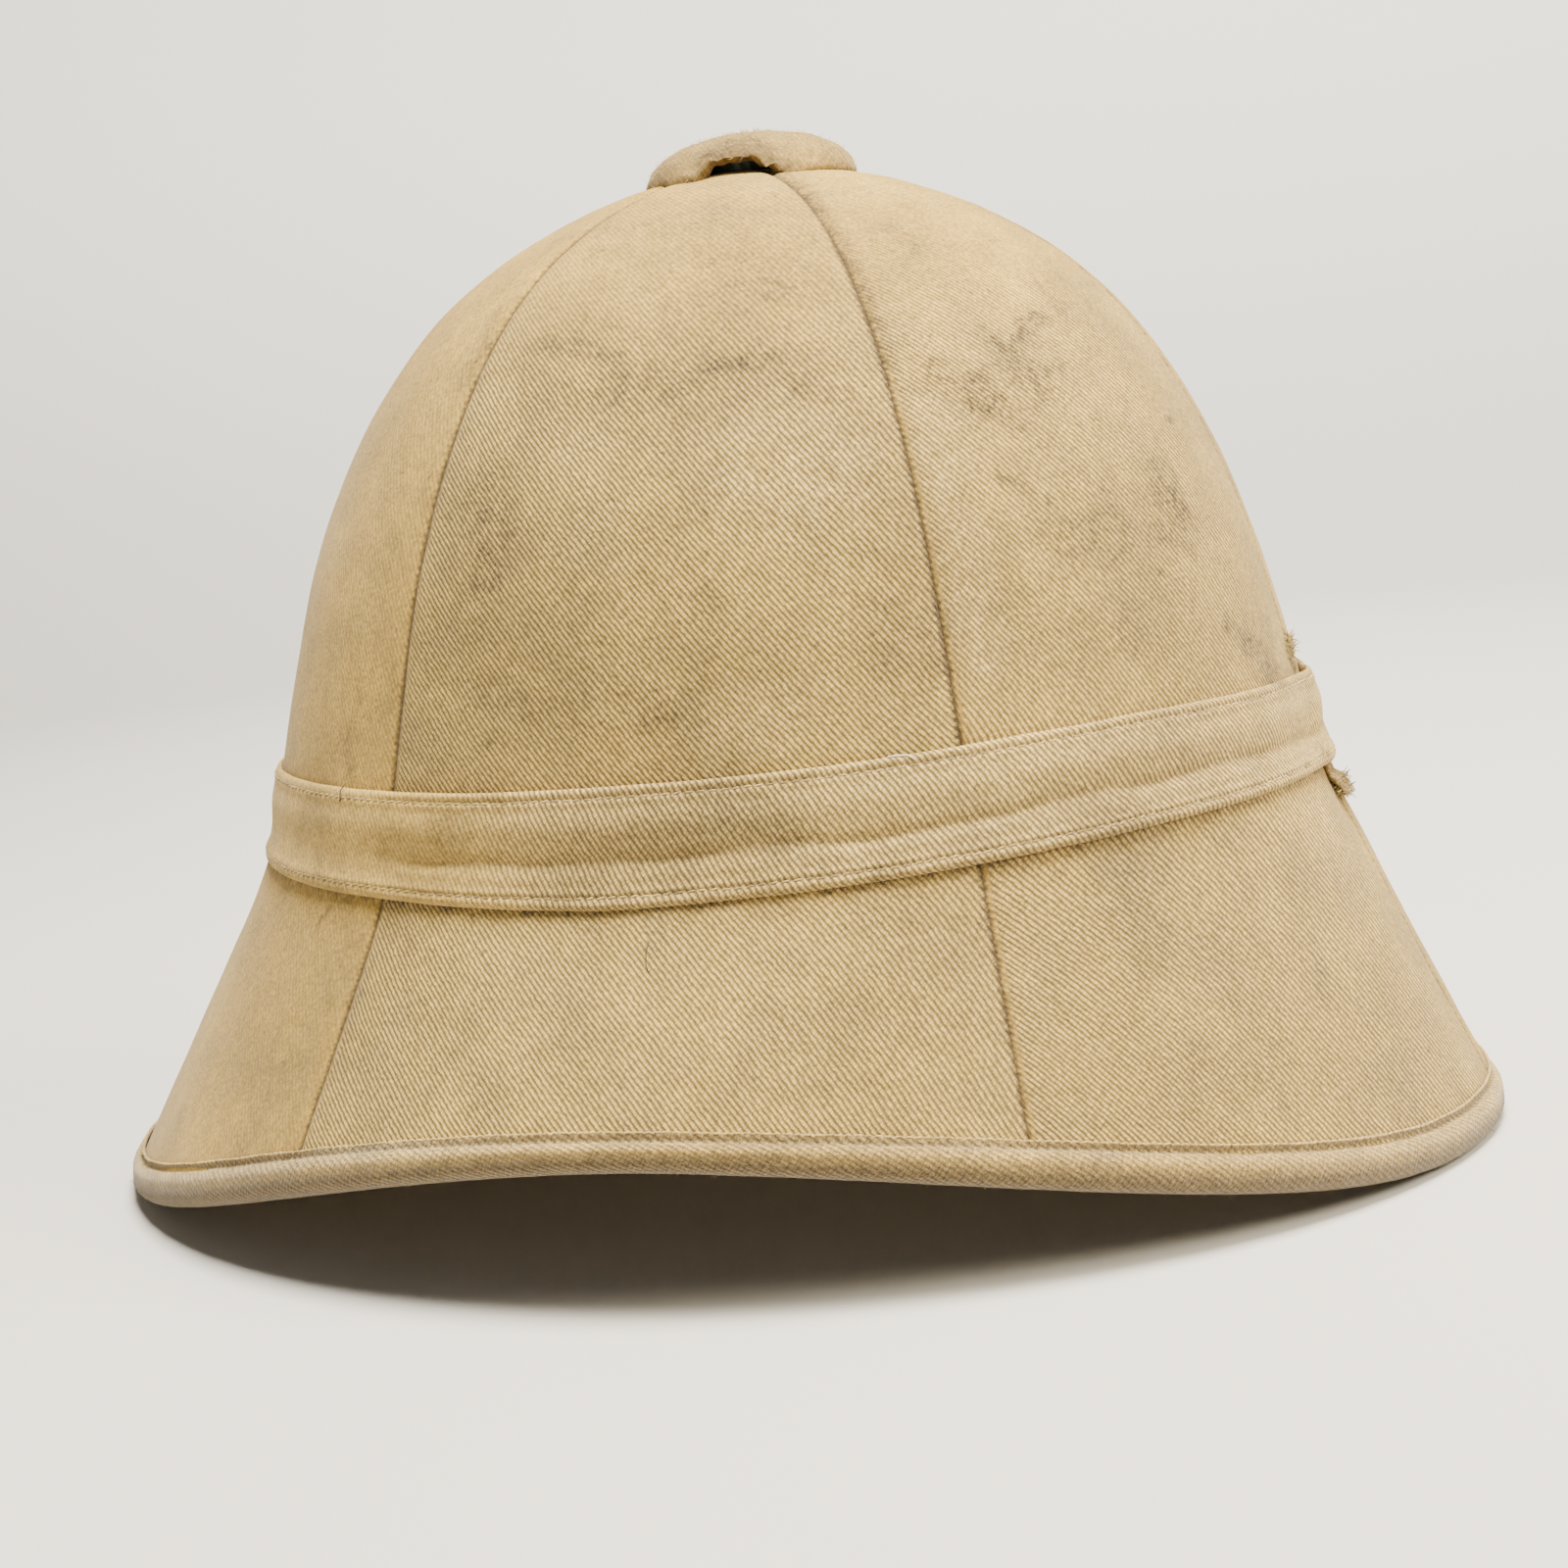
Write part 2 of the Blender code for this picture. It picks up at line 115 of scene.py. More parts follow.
def pick(piece, kind, wanted):
    """In edit mode, selects the vertices, edges or faces for which wanted is true."""
    only(piece)
    bpy.ops.object.mode_set(mode="EDIT")
    bpy.ops.mesh.select_mode(type=kind)
    bpy.ops.mesh.select_all(action="DESELECT")
    bpy.ops.object.mode_set(mode="OBJECT")
    lists = {"VERT": "vertices", "EDGE": "edges", "FACE": "polygons"}
    count = 0
    for item in getattr(piece.data, lists[kind]):
        item.select = bool(wanted(item))
        count += item.select
    bpy.ops.object.mode_set(mode="EDIT")
    return count


def done(piece):
    bpy.ops.object.mode_set(mode="OBJECT")
    return piece


# %% Floor and sweep
FLOOR_RADIUS = 1.5
COVE_RADIUS = 0.9
COVE_STEPS = 12

bpy.ops.mesh.primitive_circle_add(vertices=96, radius=FLOOR_RADIUS, fill_type="NGON")
sweep = bpy.context.object
sweep.name = "sweep"
pick(sweep, "EDGE", lambda edge: True)
reach, height = FLOOR_RADIUS, 0.0
for step in range(1, COVE_STEPS + 1):
    turn = math.pi / 2 * step / COVE_STEPS
    new_reach = FLOOR_RADIUS + COVE_RADIUS * math.sin(turn)
    new_height = COVE_RADIUS * (1 - math.cos(turn))
    if step == 1:
        bpy.ops.mesh.region_to_loop()
    bpy.ops.mesh.extrude_edges_move(TRANSFORM_OT_translate={"value": (0, 0, new_height - height)})
    grow = new_reach / reach
    bpy.ops.transform.resize(value=(grow, grow, 1), center_override=(0, 0, 0))
    reach, height = new_reach, new_height
bpy.ops.mesh.select_all(action="SELECT")
bpy.ops.mesh.normals_make_consistent(inside=True)
done(sweep)
bpy.ops.object.shade_smooth()
sweep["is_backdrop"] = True
print("sweep reaches", round(reach, 2), "m and rises", round(height, 2), "m")

# %% [markdown]
# Cloth shows its weave only in light that comes from one side more than the other. A
# soft light hangs over the helmet, a weaker and warmer one stands to its right, a third
# lights only the wall behind it, and the pale air above the bowl fills in the shadows.

# %% Lights
AT_HELMET, AT_WALL = (0, 0, 0.1), (0, 2.4, 0.4)
LIGHTS = (
    {"name": "over", "at": (0.20, -0.15, 1.35), "size": 0.6, "power": 91.0,
     "aim": AT_HELMET, "tint": (1, 0.95, 0.85)},
    {"name": "key", "at": (1.00, -0.22, 0.85), "size": 0.6, "power": 27.0,
     "aim": AT_HELMET, "tint": (1, 0.90, 0.70)},
    {"name": "wall", "at": (0.0, 0.9, 1.50), "size": 1.2, "power": 85.0,
     "aim": AT_WALL, "tint": (1, 0.97, 0.91)},
)
PALE_AIR = (1.0, 0.99, 0.96)
for row in LIGHTS:
    light = bpy.data.lights.new(row["name"], "AREA")
    light.size = row["size"]
    light.energy = row["power"]
    light.color = row["tint"]
    lamp = bpy.data.objects.new(row["name"], light)
    bpy.context.scene.collection.objects.link(lamp)
    lamp.location = row["at"]
    lamp.rotation_mode = "QUATERNION"
    lamp.rotation_quaternion = (Vector(row["aim"]) - lamp.location).to_track_quat("-Z", "Y")
world = bpy.data.worlds.new("pale_air")
world.use_nodes = True
world.node_tree.nodes["Background"].inputs["Color"].default_value = (*PALE_AIR, 1)
world.node_tree.nodes["Background"].inputs["Strength"].default_value = 0.18
bpy.context.scene.world = world
print("lights:", [row["name"] for row in LIGHTS])

# %% [markdown]
# Node trees get long when they are wired by hand. Two small helpers keep them readable:
# one adds a node and wires whatever it is given, the other does one step of arithmetic.

# %% Helpers that wire nodes


def add_node(tree, kind, feeds=None, **settings):
    """Adds a node, sets its properties, and wires or sets the inputs in feeds."""
    made = tree.nodes.new("ShaderNode" + kind)
    for name, value in settings.items():
        setattr(made, name, value)
    for name, value in (feeds or {}).items():
        if isinstance(value, bpy.types.NodeSocket):
            tree.links.new(value, made.inputs[name])
        else:
            made.inputs[name].default_value = value
    return made


def calc(tree, operation, first, second=0.0, third=0.0, clamp=False):
    feeds = {0: first, 1: second, 2: third}
    made = add_node(tree, "Math", feeds, operation=operation, use_clamp=clamp)
    return made.outputs[0]


def blend(tree, share, first, second, way="MIX"):
    """Mixes two colours by a share from 0 to 1."""
    made = tree.nodes.new("ShaderNodeMix")
    made.data_type = "RGBA"
    made.blend_type = way
    for place, value in ((0, share), (6, first), (7, second)):
        if isinstance(value, bpy.types.NodeSocket):
            tree.links.new(value, made.inputs[place])
        else:
            made.inputs[place].default_value = value
    return made.outputs[2]


def ramp(tree, value, low, high, to_low=0.0, to_high=1.0):
    """A smooth step from to_low to to_high while value goes from low to high."""
    feeds = {0: value, 1: low, 2: high, 3: to_low, 4: to_high}
    made = add_node(tree, "MapRange", feeds, interpolation_type="SMOOTHSTEP")
    return made.outputs[0]


def grain(tree, place, scale, detail=2.0, rough=0.5):
    feeds = {"Vector": place, "Scale": scale, "Detail": detail, "Roughness": rough}
    return add_node(tree, "TexNoise", feeds).outputs[0]


def dim(tree, colour, share):
    return add_node(tree, "VectorMath", {0: colour, 3: share}, operation="SCALE").outputs[0]


def set_bump(tree, shader, depth):
    """Bumps the surface by a height in metres."""
    bump = add_node(tree, "Bump", {"Strength": 1.0, "Distance": 1.0, "Height": depth})
    tree.links.new(bump.outputs[0], shader.inputs["Normal"])


def new_group(name, inputs, outputs):
    """An empty node group with named sockets, and its two end nodes."""
    group = bpy.data.node_groups.new(name, "ShaderNodeTree")
    for label, kind, value in inputs:
        socket = group.interface.new_socket(label, in_out="INPUT", socket_type="NodeSocket" + kind)
        socket.default_value = value
    for label, kind in outputs:
        group.interface.new_socket(label, in_out="OUTPUT", socket_type="NodeSocket" + kind)
    return group, group.nodes.new("NodeGroupInput").outputs, group.nodes.new("NodeGroupOutput").inputs


def use_group(tree, group, **feeds):
    made = tree.nodes.new("ShaderNodeGroup")
    made.node_tree = group
    for name, value in feeds.items():
        if isinstance(value, bpy.types.NodeSocket):
            tree.links.new(value, made.inputs[name])
        else:
            made.inputs[name].default_value = value
    return made.outputs


# %% [markdown]
# Drill is a twill: each thread passes over three and under one, and the step moves one
# thread over in every row, so the cloth shows steep ribs that look twisted like cord.
# The group draws the ribs as a wave across the slant, breaks each rib into small beads
# along it, and lets slow noise wander through both so that no rib runs ruler-straight.

# %% Node group for the twill
TWILL_SLANT = math.radians(57.5)
RIB_PITCH = 0.00104
BEAD_PITCH = 0.00062

twill, given, result = new_group(
    "twill",
    [("Cloth", "Vector", (0, 0, 0)), ("Pitch", "Float", RIB_PITCH), ("Slant", "Float", TWILL_SLANT)],
    [("Height", "Float"), ("Rib", "Float")],
)
split = add_node(twill, "SeparateXYZ", {0: given["Cloth"]}).outputs
sine = calc(twill, "SINE", given["Slant"])
cosine = calc(twill, "COSINE", given["Slant"])
across = calc(
    twill, "ADD", calc(twill, "MULTIPLY", split[0], sine), calc(twill, "MULTIPLY", split[1], cosine)
)
along = calc(
    twill, "SUBTRACT", calc(twill, "MULTIPLY", split[0], cosine), calc(twill, "MULTIPLY", split[1], sine)
)
slow = calc(twill, "MULTIPLY_ADD", grain(twill, given["Cloth"], 60.0, 2.0), 1.1, -0.55)
quickly = calc(twill, "MULTIPLY_ADD", grain(twill, given["Cloth"], 750.0, 2.0), 0.56, -0.28)
turns = calc(twill, "ADD", calc(twill, "DIVIDE", across, given["Pitch"]), calc(twill, "ADD", slow, quickly))
wave = calc(twill, "COSINE", calc(twill, "MULTIPLY", turns, 2 * math.pi))
rib = ramp(twill, wave, -0.75, 0.55)
bead_turns = calc(twill, "MULTIPLY_ADD", turns, 0.5, calc(twill, "DIVIDE", along, BEAD_PITCH))
bead = calc(twill, "COSINE", calc(twill, "MULTIPLY", bead_turns, 2 * math.pi))
bead = calc(twill, "MULTIPLY_ADD", bead, 0.22, 0.78)
slub = calc(twill, "MULTIPLY_ADD", grain(twill, given["Cloth"], 1500.0, 2.0), 0.9, 0.55)
whole = calc(twill, "MULTIPLY", calc(twill, "MULTIPLY", rib, bead), slub)
twill.links.new(whole, result["Height"])
twill.links.new(rib, result["Rib"])
print("twill: ribs every", RIB_PITCH * 1000, "mm at", round(math.degrees(TWILL_SLANT), 1), "degrees")

# %% [markdown]
# Old cotton is never one colour. Sun and sweat leave soft clouds of paler and browner
# cloth, and fine dirt sits in the weave. This group turns a place on the helmet into
# three masks at different scales, which each cloth then uses in its own strengths.

# %% Node group for age
AGE_MASKS = [("Clouds", "Float"), ("Blotches", "Float"), ("Specks", "Float")]
age, given, result = new_group("age", [("Place", "Vector", (0, 0, 0))], AGE_MASKS)
clouds = ramp(age, grain(age, given["Place"], 16.0, 4.0, 0.6), 0.32, 0.68)
blotches = ramp(age, grain(age, given["Place"], 75.0, 5.0, 0.68), 0.36, 0.66)
fine = grain(age, given["Place"], 620.0, 1.0)
crowd = grain(age, given["Place"], 45.0, 2.0)
specks = ramp(age, calc(age, "MULTIPLY_ADD", crowd, 0.22, fine), 0.83, 0.89)
age.links.new(clouds, result["Clouds"])
age.links.new(blotches, result["Blotches"])
age.links.new(specks, result["Specks"])
print("age: clouds at 60 mm, blotches at 13 mm, specks at 1.5 mm")

# %% [markdown]
# Each cloth is a Principled shader with a little sheen. Colour starts as a paler and a
# browner tone mixed by the clouds, gets painted shade between the ribs and painted light on
# them, and takes stains and painted shade from the piece's own painted colours. The same
# rib height drives the bump, so light and colour agree on where the threads are.

# %% The drill cloth
PALE_DRILL = (0.520, 0.360, 0.108, 1)
WARM_DRILL = (0.385, 0.262, 0.078, 1)
OLD_DRILL = (0.222, 0.164, 0.072, 1)
# The next colour serves both brown stains and painted shade.
BROWN_STAIN_AND_SHADE = (0.125, 0.086, 0.042, 1)
GREY_SOIL = (0.112, 0.095, 0.064, 1)
BLEACHED = (0.680, 0.500, 0.205, 1)
# The next colour is the painted shade in the seams' grooves; it also darkens the top of the pith.
DEEP_BROWN = (0.085, 0.058, 0.030, 1)
RIB_SHADE = (0.39, 0.385, 0.40, 1)
RIB_LIGHT = (1.32, 1.29, 1.14, 1)
FELTED = (0.86, 0.79, 0.52, 1)


def start_material(name):
    material = bpy.data.materials.new(name)
    material.use_nodes = True
    tree = material.node_tree
    return material, tree, tree.nodes["Principled BSDF"]


def cloth_material(name, pale, warm, slant=TWILL_SLANT, pitch=RIB_PITCH, seams=False, rib_depth=0.00022):
    material, tree, shader = start_material(name)
    place = add_node(tree, "TexCoord").outputs["Object"]
    lay = add_node(tree, "UVMap", uv_map="cloth").outputs[0]
    paint = add_node(tree, "Attribute", attribute_name="soil").outputs["Color"]
    soil = add_node(tree, "SeparateColor", {0: paint}).outputs
    weave = use_group(tree, twill, Cloth=lay, Slant=slant, Pitch=pitch)
    masks = use_group(tree, age, Place=place)
    wander = ramp(tree, grain(tree, place, 190.0, 6.0, 0.75), 0.35, 0.66, 0.25, 1.50)
    specky = ramp(tree, grain(tree, place, 900.0, 4.0, 0.7), 0.36, 0.64, 0.35, 1.45)
    wander = calc(tree, "MULTIPLY", wander, specky)
    colour = blend(tree, masks["Clouds"], pale, warm)
    colour = blend(tree, calc(tree, "MULTIPLY", masks["Blotches"], 0.36), colour, OLD_DRILL)
    dull = ramp(tree, grain(tree, place, 36.0, 5.0, 0.62), 0.50, 0.70, 0.0, 0.42)
    colour = blend(tree, calc(tree, "MULTIPLY", dull, specky, clamp=True), colour, OLD_DRILL)
    bleached = calc(tree, "MULTIPLY", soil[2], calc(tree, "MULTIPLY", wander, 0.75), clamp=True)
    colour = blend(tree, bleached, colour, BLEACHED)
    brown = calc(tree, "MULTIPLY", soil[0], wander, clamp=True)
    # The red channel holds brown stains and painted shade; paint above 0.8 shows whole.
    brown = calc(tree, "MAXIMUM", brown, ramp(tree, soil[0], 0.80, 0.92, 0.0, 0.80))
    colour = blend(tree, brown, colour, BROWN_STAIN_AND_SHADE)
    grey = calc(tree, "MULTIPLY", soil[1], wander, clamp=True)
    colour = blend(tree, grey, colour, GREY_SOIL)
    colour = blend(tree, calc(tree, "MULTIPLY", masks["Specks"], 0.55), colour, BROWN_STAIN_AND_SHADE)
    nap = add_node(tree, "Attribute", attribute_name="nap").outputs["Fac"]
    height = calc(tree, "MULTIPLY", weave["Height"], nap)
    valley = calc(tree, "SUBTRACT", 1.0, weave["Height"], clamp=True)
    clear = nap
    if seams:
        edges = add_node(tree, "UVMap", uv_map="seams").outputs[0]
        sides = add_node(tree, "SeparateXYZ", {0: edges}).outputs
        nearest = calc(tree, "MINIMUM", sides[0], sides[1])
        pressed = ramp(tree, sides[0], 0.0011, 0.0017, 0.35, 1.0)
        clear = calc(tree, "MULTIPLY", clear, pressed)
        height = calc(tree, "MULTIPLY", height, pressed)
        down = add_node(tree, "SeparateXYZ", {0: lay}).outputs[1]
        beat = calc(tree, "COSINE", calc(tree, "MULTIPLY", down, 2 * math.pi / 0.0017))
        reach = calc(tree, "MULTIPLY_ADD", beat, 0.00020, 0.00088)
        ragged = calc(tree, "MULTIPLY", reach, calc(tree, "MULTIPLY_ADD", wander, 0.35, 0.65))
        crease = calc(tree, "SUBTRACT", 1.3, calc(tree, "DIVIDE", nearest, ragged), clamp=True)
        where = add_node(tree, "SeparateXYZ", {0: place}).outputs
        high_up = ramp(tree, where[2], 0.150, 0.215, 0.18, 1.0)
        to_front = ramp(tree, where[0], -0.02, 0.03, 0.25, 1.0)
        # Darker brown along one side of each seam, most towards the top and the front.
        toward_top_front = calc(tree, "MULTIPLY", high_up, to_front)
        seam_darkening = calc(tree, "MULTIPLY", ramp(tree, sides[0], 0.0006, 0.0044, 1.0, 0.0), toward_top_front)
        seam_darkening = calc(tree, "MULTIPLY", seam_darkening, wander, clamp=True)
        colour = blend(tree, calc(tree, "MULTIPLY", seam_darkening, 0.8), colour, BROWN_STAIN_AND_SHADE)
        # Painted shade in the groove along each seam.
        colour = blend(tree, calc(tree, "MULTIPLY", crease, 0.92), colour, DEEP_BROWN)
    # Painted shade between the ribs and painted light on their tops.
    shade = blend(tree, clear, FELTED, blend(tree, valley, RIB_LIGHT, RIB_SHADE))
    colour = blend(tree, 1.0, colour, shade, "MULTIPLY")
    fluff = ramp(tree, grain(tree, place, 1150.0, 4.0, 0.7), 0.36, 0.66, 0.70, 1.22)
    patch = ramp(tree, grain(tree, place, 300.0, 3.0, 0.6), 0.35, 0.65, 0.90, 1.08)
    colour = dim(tree, colour, calc(tree, "MULTIPLY", fluff, patch))
    tree.links.new(colour, shader.inputs["Base Color"])
    fibres = grain(tree, place, 3800.0, 2.0)
    fuzz_depth = calc(tree, "MULTIPLY", fibres, 0.00005)
    set_bump(tree, shader, calc(tree, "MULTIPLY_ADD", height, rib_depth, fuzz_depth))
    rough = calc(tree, "MULTIPLY_ADD", valley, 0.08, 0.86)
    tree.links.new(rough, shader.inputs["Roughness"])
    shader.inputs["Specular IOR Level"].default_value = 0.22
    shader.inputs["Sheen Weight"].default_value = 0.10
    shader.inputs["Sheen Roughness"].default_value = 0.45
    shader.inputs["Sheen Tint"].default_value = (1.0, 0.93, 0.80, 1)
    return material


drill = cloth_material("drill", PALE_DRILL, WARM_DRILL, seams=True)
print("drill: ribs stand 0.22 mm proud")

# %% [markdown]
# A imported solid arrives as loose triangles. A copy of it is merged, its pairs of
# triangles are joined into four-sided faces, and only then can it be refined, because
# subdivision flows along rows and columns of four-sided faces.

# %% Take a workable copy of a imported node


def copy_of(node, name):
    source = bpy.data.objects[node]
    piece = bpy.data.objects.new(name, source.data.copy())
    bpy.context.scene.collection.objects.link(piece)
    piece.data.materials.clear()
    only(piece)
    bpy.ops.object.mode_set(mode="EDIT")
    bpy.ops.mesh.select_all(action="SELECT")
    bpy.ops.mesh.remove_doubles(threshold=0.00001)
    bpy.ops.mesh.normals_make_consistent(inside=False)
    bpy.ops.object.mode_set(mode="OBJECT")
    for layer in list(piece.data.uv_layers):
        piece.data.uv_layers.remove(layer)
    return piece


def drop_diagonals(piece, where):
    """Dissolves the edges that cross a cell, so that pairs of triangles become one face.
    where gives each vertex its column and row."""
    def crosses(edge):
        (column, row), (other_column, other_row) = (where[v] for v in edge.vertices)
        return column != other_column and row != other_row

    count = pick(piece, "EDGE", crosses)
    bpy.ops.mesh.dissolve_edges(use_verts=False)
    done(piece)
    return count


def apply_modifier(piece, kind, **settings):
    """Adds a modifier, sets it and applies it at once."""
    only(piece)
    modifier = piece.modifiers.new(kind.lower(), kind)
    for name, value in settings.items():
        setattr(modifier, name, value)
    bpy.ops.object.modifier_apply(modifier=modifier.name)
    return piece


def refine(piece, levels):
    return apply_modifier(piece, "SUBSURF", levels=levels, render_levels=levels)


# %% [markdown]
# The weave follows each gore's own straight grain, so each gore gets a flat layout of its
# own in metres: rows run across it from seam to seam and columns run down it. The rows
# are found by walking from the top corner, one strip of faces at a time.

# %% Lay each gore out flat
AXIS_X = 0.0108


def polar(point):
    return math.atan2(point[1], point[0] - AXIS_X)


def rows_down(piece, middle):
    """The vertices of a grid of triangles, row by row from its top edge."""
    mesh = piece.data
    place = [vertex.co for vertex in mesh.vertices]
    near, faces_at, uses = {}, {}, {}
    for face in mesh.polygons:
        for vertex in face.vertices:
            faces_at[vertex] = faces_at.get(vertex, 0) + 1
        for key in face.edge_keys:
            uses[key] = uses.get(key, 0) + 1
    border = {}
    for (a, b), faces in uses.items():
        near.setdefault(a, set()).add(b)
        near.setdefault(b, set()).add(a)
        if faces == 1:
            border.setdefault(a, []).append(b)
            border.setdefault(b, []).append(a)
    corners = sorted((v for v in border if faces_at[v] <= 2), key=lambda v: -place[v].z)
    top = sorted(corners[:2], key=lambda v: math.remainder(polar(place[v]) - middle, 2 * math.pi))
    paths = []
    for follow in border[top[0]]:
        path = [top[0], follow]
        while path[-1] not in corners:
            path.append([v for v in border[path[-1]] if v != path[-2]][0])
        paths.append(path)
    row, side = sorted(paths, key=lambda path: path[-1] != top[1])
    rows = [row]
    for first in side[1:]:
        below = [first]
        for left, above in zip(row, row[1:]):
            found = (near[below[-1]] & near[above]) - {left} - set(row)
            below.append(found.pop())
        rows.append(below)
        row = below
    return rows


FOOT_Z = 0.081
FOOT_AT = 0.150
CUT = {
    1: {"crown": 3, "brim": -4, "coarse": 1.10}, 2: {"crown": -3, "brim": 2, "coarse": 1.00},
    3: {"crown": 2, "brim": -6, "coarse": 1.05}, 4: {"crown": -4, "brim": -6, "coarse": 1.00},
    5: {"crown": -7, "brim": -8.5, "coarse": 1.00}, 6: {"crown": 0, "brim": 4, "coarse": 1.30},
}


def lay_out(piece, middle, cut):
    """Gives a gore the maps cloth, its flat layout, and seams, how far each seam is.
    cut turns the grain on the crown and the brim; the change is under the band."""
    rows = rows_down(piece, middle)
    where = {v: (column, number) for number, row in enumerate(rows) for column, v in enumerate(row)}
    drop_diagonals(piece, where)
    mesh = piece.data
    place = np.array([v.co for v in mesh.vertices])
    centre = len(rows[0]) // 2
    flat, seams, fallen = {}, {}, 0.0
    for number, row in enumerate(rows):
        if number:
            fallen += float(np.linalg.norm(place[row[centre]] - place[rows[number - 1][centre]]))
        steps = np.linalg.norm(np.diff(place[row], axis=0), axis=1)
        reach = np.concatenate([[0.0], np.cumsum(steps)])
        for column, vertex in enumerate(row):
            share = min(max((place[vertex][2] - FOOT_Z - 0.004) / 0.010, 0), 1)
            turn = math.radians(cut["brim"] + (cut["crown"] - cut["brim"]) * share)
            coarse = cut["coarse"] + (1 - cut["coarse"]) * share
            x, y = reach[column] - reach[centre], FOOT_AT - fallen
            x, y = x * math.cos(turn) - y * math.sin(turn), x * math.sin(turn) + y * math.cos(turn)
            flat[vertex] = (x / coarse, y / coarse)
            seams[vertex] = (reach[column], reach[-1] - reach[column])
    for name, table in (("cloth", flat), ("seams", seams)):
        layer = mesh.uv_layers.new(name=name)
        for loop in mesh.loops:
            layer.data[loop.index].uv = table[loop.vertex_index]
    widest = max(sum(seams[row[0]]) for row in rows)
    return len(rows), widest, fallen


# %% [markdown]
# A gore is glued down and its edges are turned in at the seams. Only its outer face is
# kept. An inset leaves a narrow strip along the edge, and lowering the edge by a
# millimetre turns that strip into a soft fold once the gore is subdivided.

# %% Model the six gores
GORE_COUNT = 6
FOLD_WIDTH = 0.0013
FOLD_DEPTH = 0.0009
TAKEN_UP = 0.00042
SETTLED = 0.0008


def sag(place):
    """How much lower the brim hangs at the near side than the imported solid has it."""
    near = math.remainder(polar(place) + 1.606, 2 * math.pi) / 0.52
    return 0.0012 * math.exp(-near * near) * min(max((0.082 - place.z) / 0.045, 0), 1)


LEVELS = {1: 3, 2: 3, 3: 3, 4: 4, 5: 4, 6: 4}


def faces_out(face):
    outward = Vector((face.center.x - AXIS_X, face.center.y, 0)).normalized()
    return face.normal.dot(outward) * 0.9 + face.normal.z * 0.4 > 0.25


dents = bpy.data.textures.new("dents", "CLOUDS")
dents.noise_scale = 0.045
dents.noise_depth = 2
ripples = bpy.data.textures.new("ripples", "CLOUDS")
ripples.noise_scale = 0.011
ripples.noise_depth = 1
crumple = bpy.data.textures.new("crumple", "CLOUDS")
crumple.noise_scale = 0.0045
crumple.noise_depth = 2
gores, gore_sizes = [], []
for number in range(1, GORE_COUNT + 1):
    gore = copy_of(f"cover_gore_{number}", f"gore_{number}")
    pick(gore, "FACE", lambda face: not faces_out(face))
    bpy.ops.mesh.delete(type="FACE")
    done(gore)
    middle = math.radians(60 * number - 30)
    row_count, widest, length = lay_out(gore, middle, CUT[number])
    gore_sizes.append((widest, length))
    pick(gore, "FACE", lambda face: True)
    bpy.ops.mesh.inset(thickness=FOLD_WIDTH, depth=0, use_boundary=True)
    done(gore)
    edge_uses = {}
    for face in gore.data.polygons:
        for key in face.edge_keys:
            edge_uses[key] = edge_uses.get(key, 0) + 1
    outline = {v for key, uses in edge_uses.items() if uses == 1 for v in key}
    pick(gore, "VERT", lambda vertex: vertex.index in outline)
    bpy.ops.transform.shrink_fatten(value=-FOLD_DEPTH)
    done(gore)
    refine(gore, LEVELS[number])
    apply_modifier(gore, "DISPLACE", strength=TAKEN_UP, mid_level=0.0)
    for vertex in gore.data.vertices:
        vertex.co.z -= SETTLED * min(max((vertex.co.z - 0.195) / 0.022, 0), 1) + sag(vertex.co)
    apply_modifier(gore, "DISPLACE", texture=dents, texture_coords="LOCAL", strength=0.0011)
    apply_modifier(gore, "DISPLACE", texture=ripples, texture_coords="LOCAL", strength=0.00022)
    only(gore)
    bpy.ops.object.shade_smooth()
    gore.data.materials.append(drill)
    gores.append(gore)
    print(gore.name, "rows", row_count, "faces", len(gore.data.polygons))
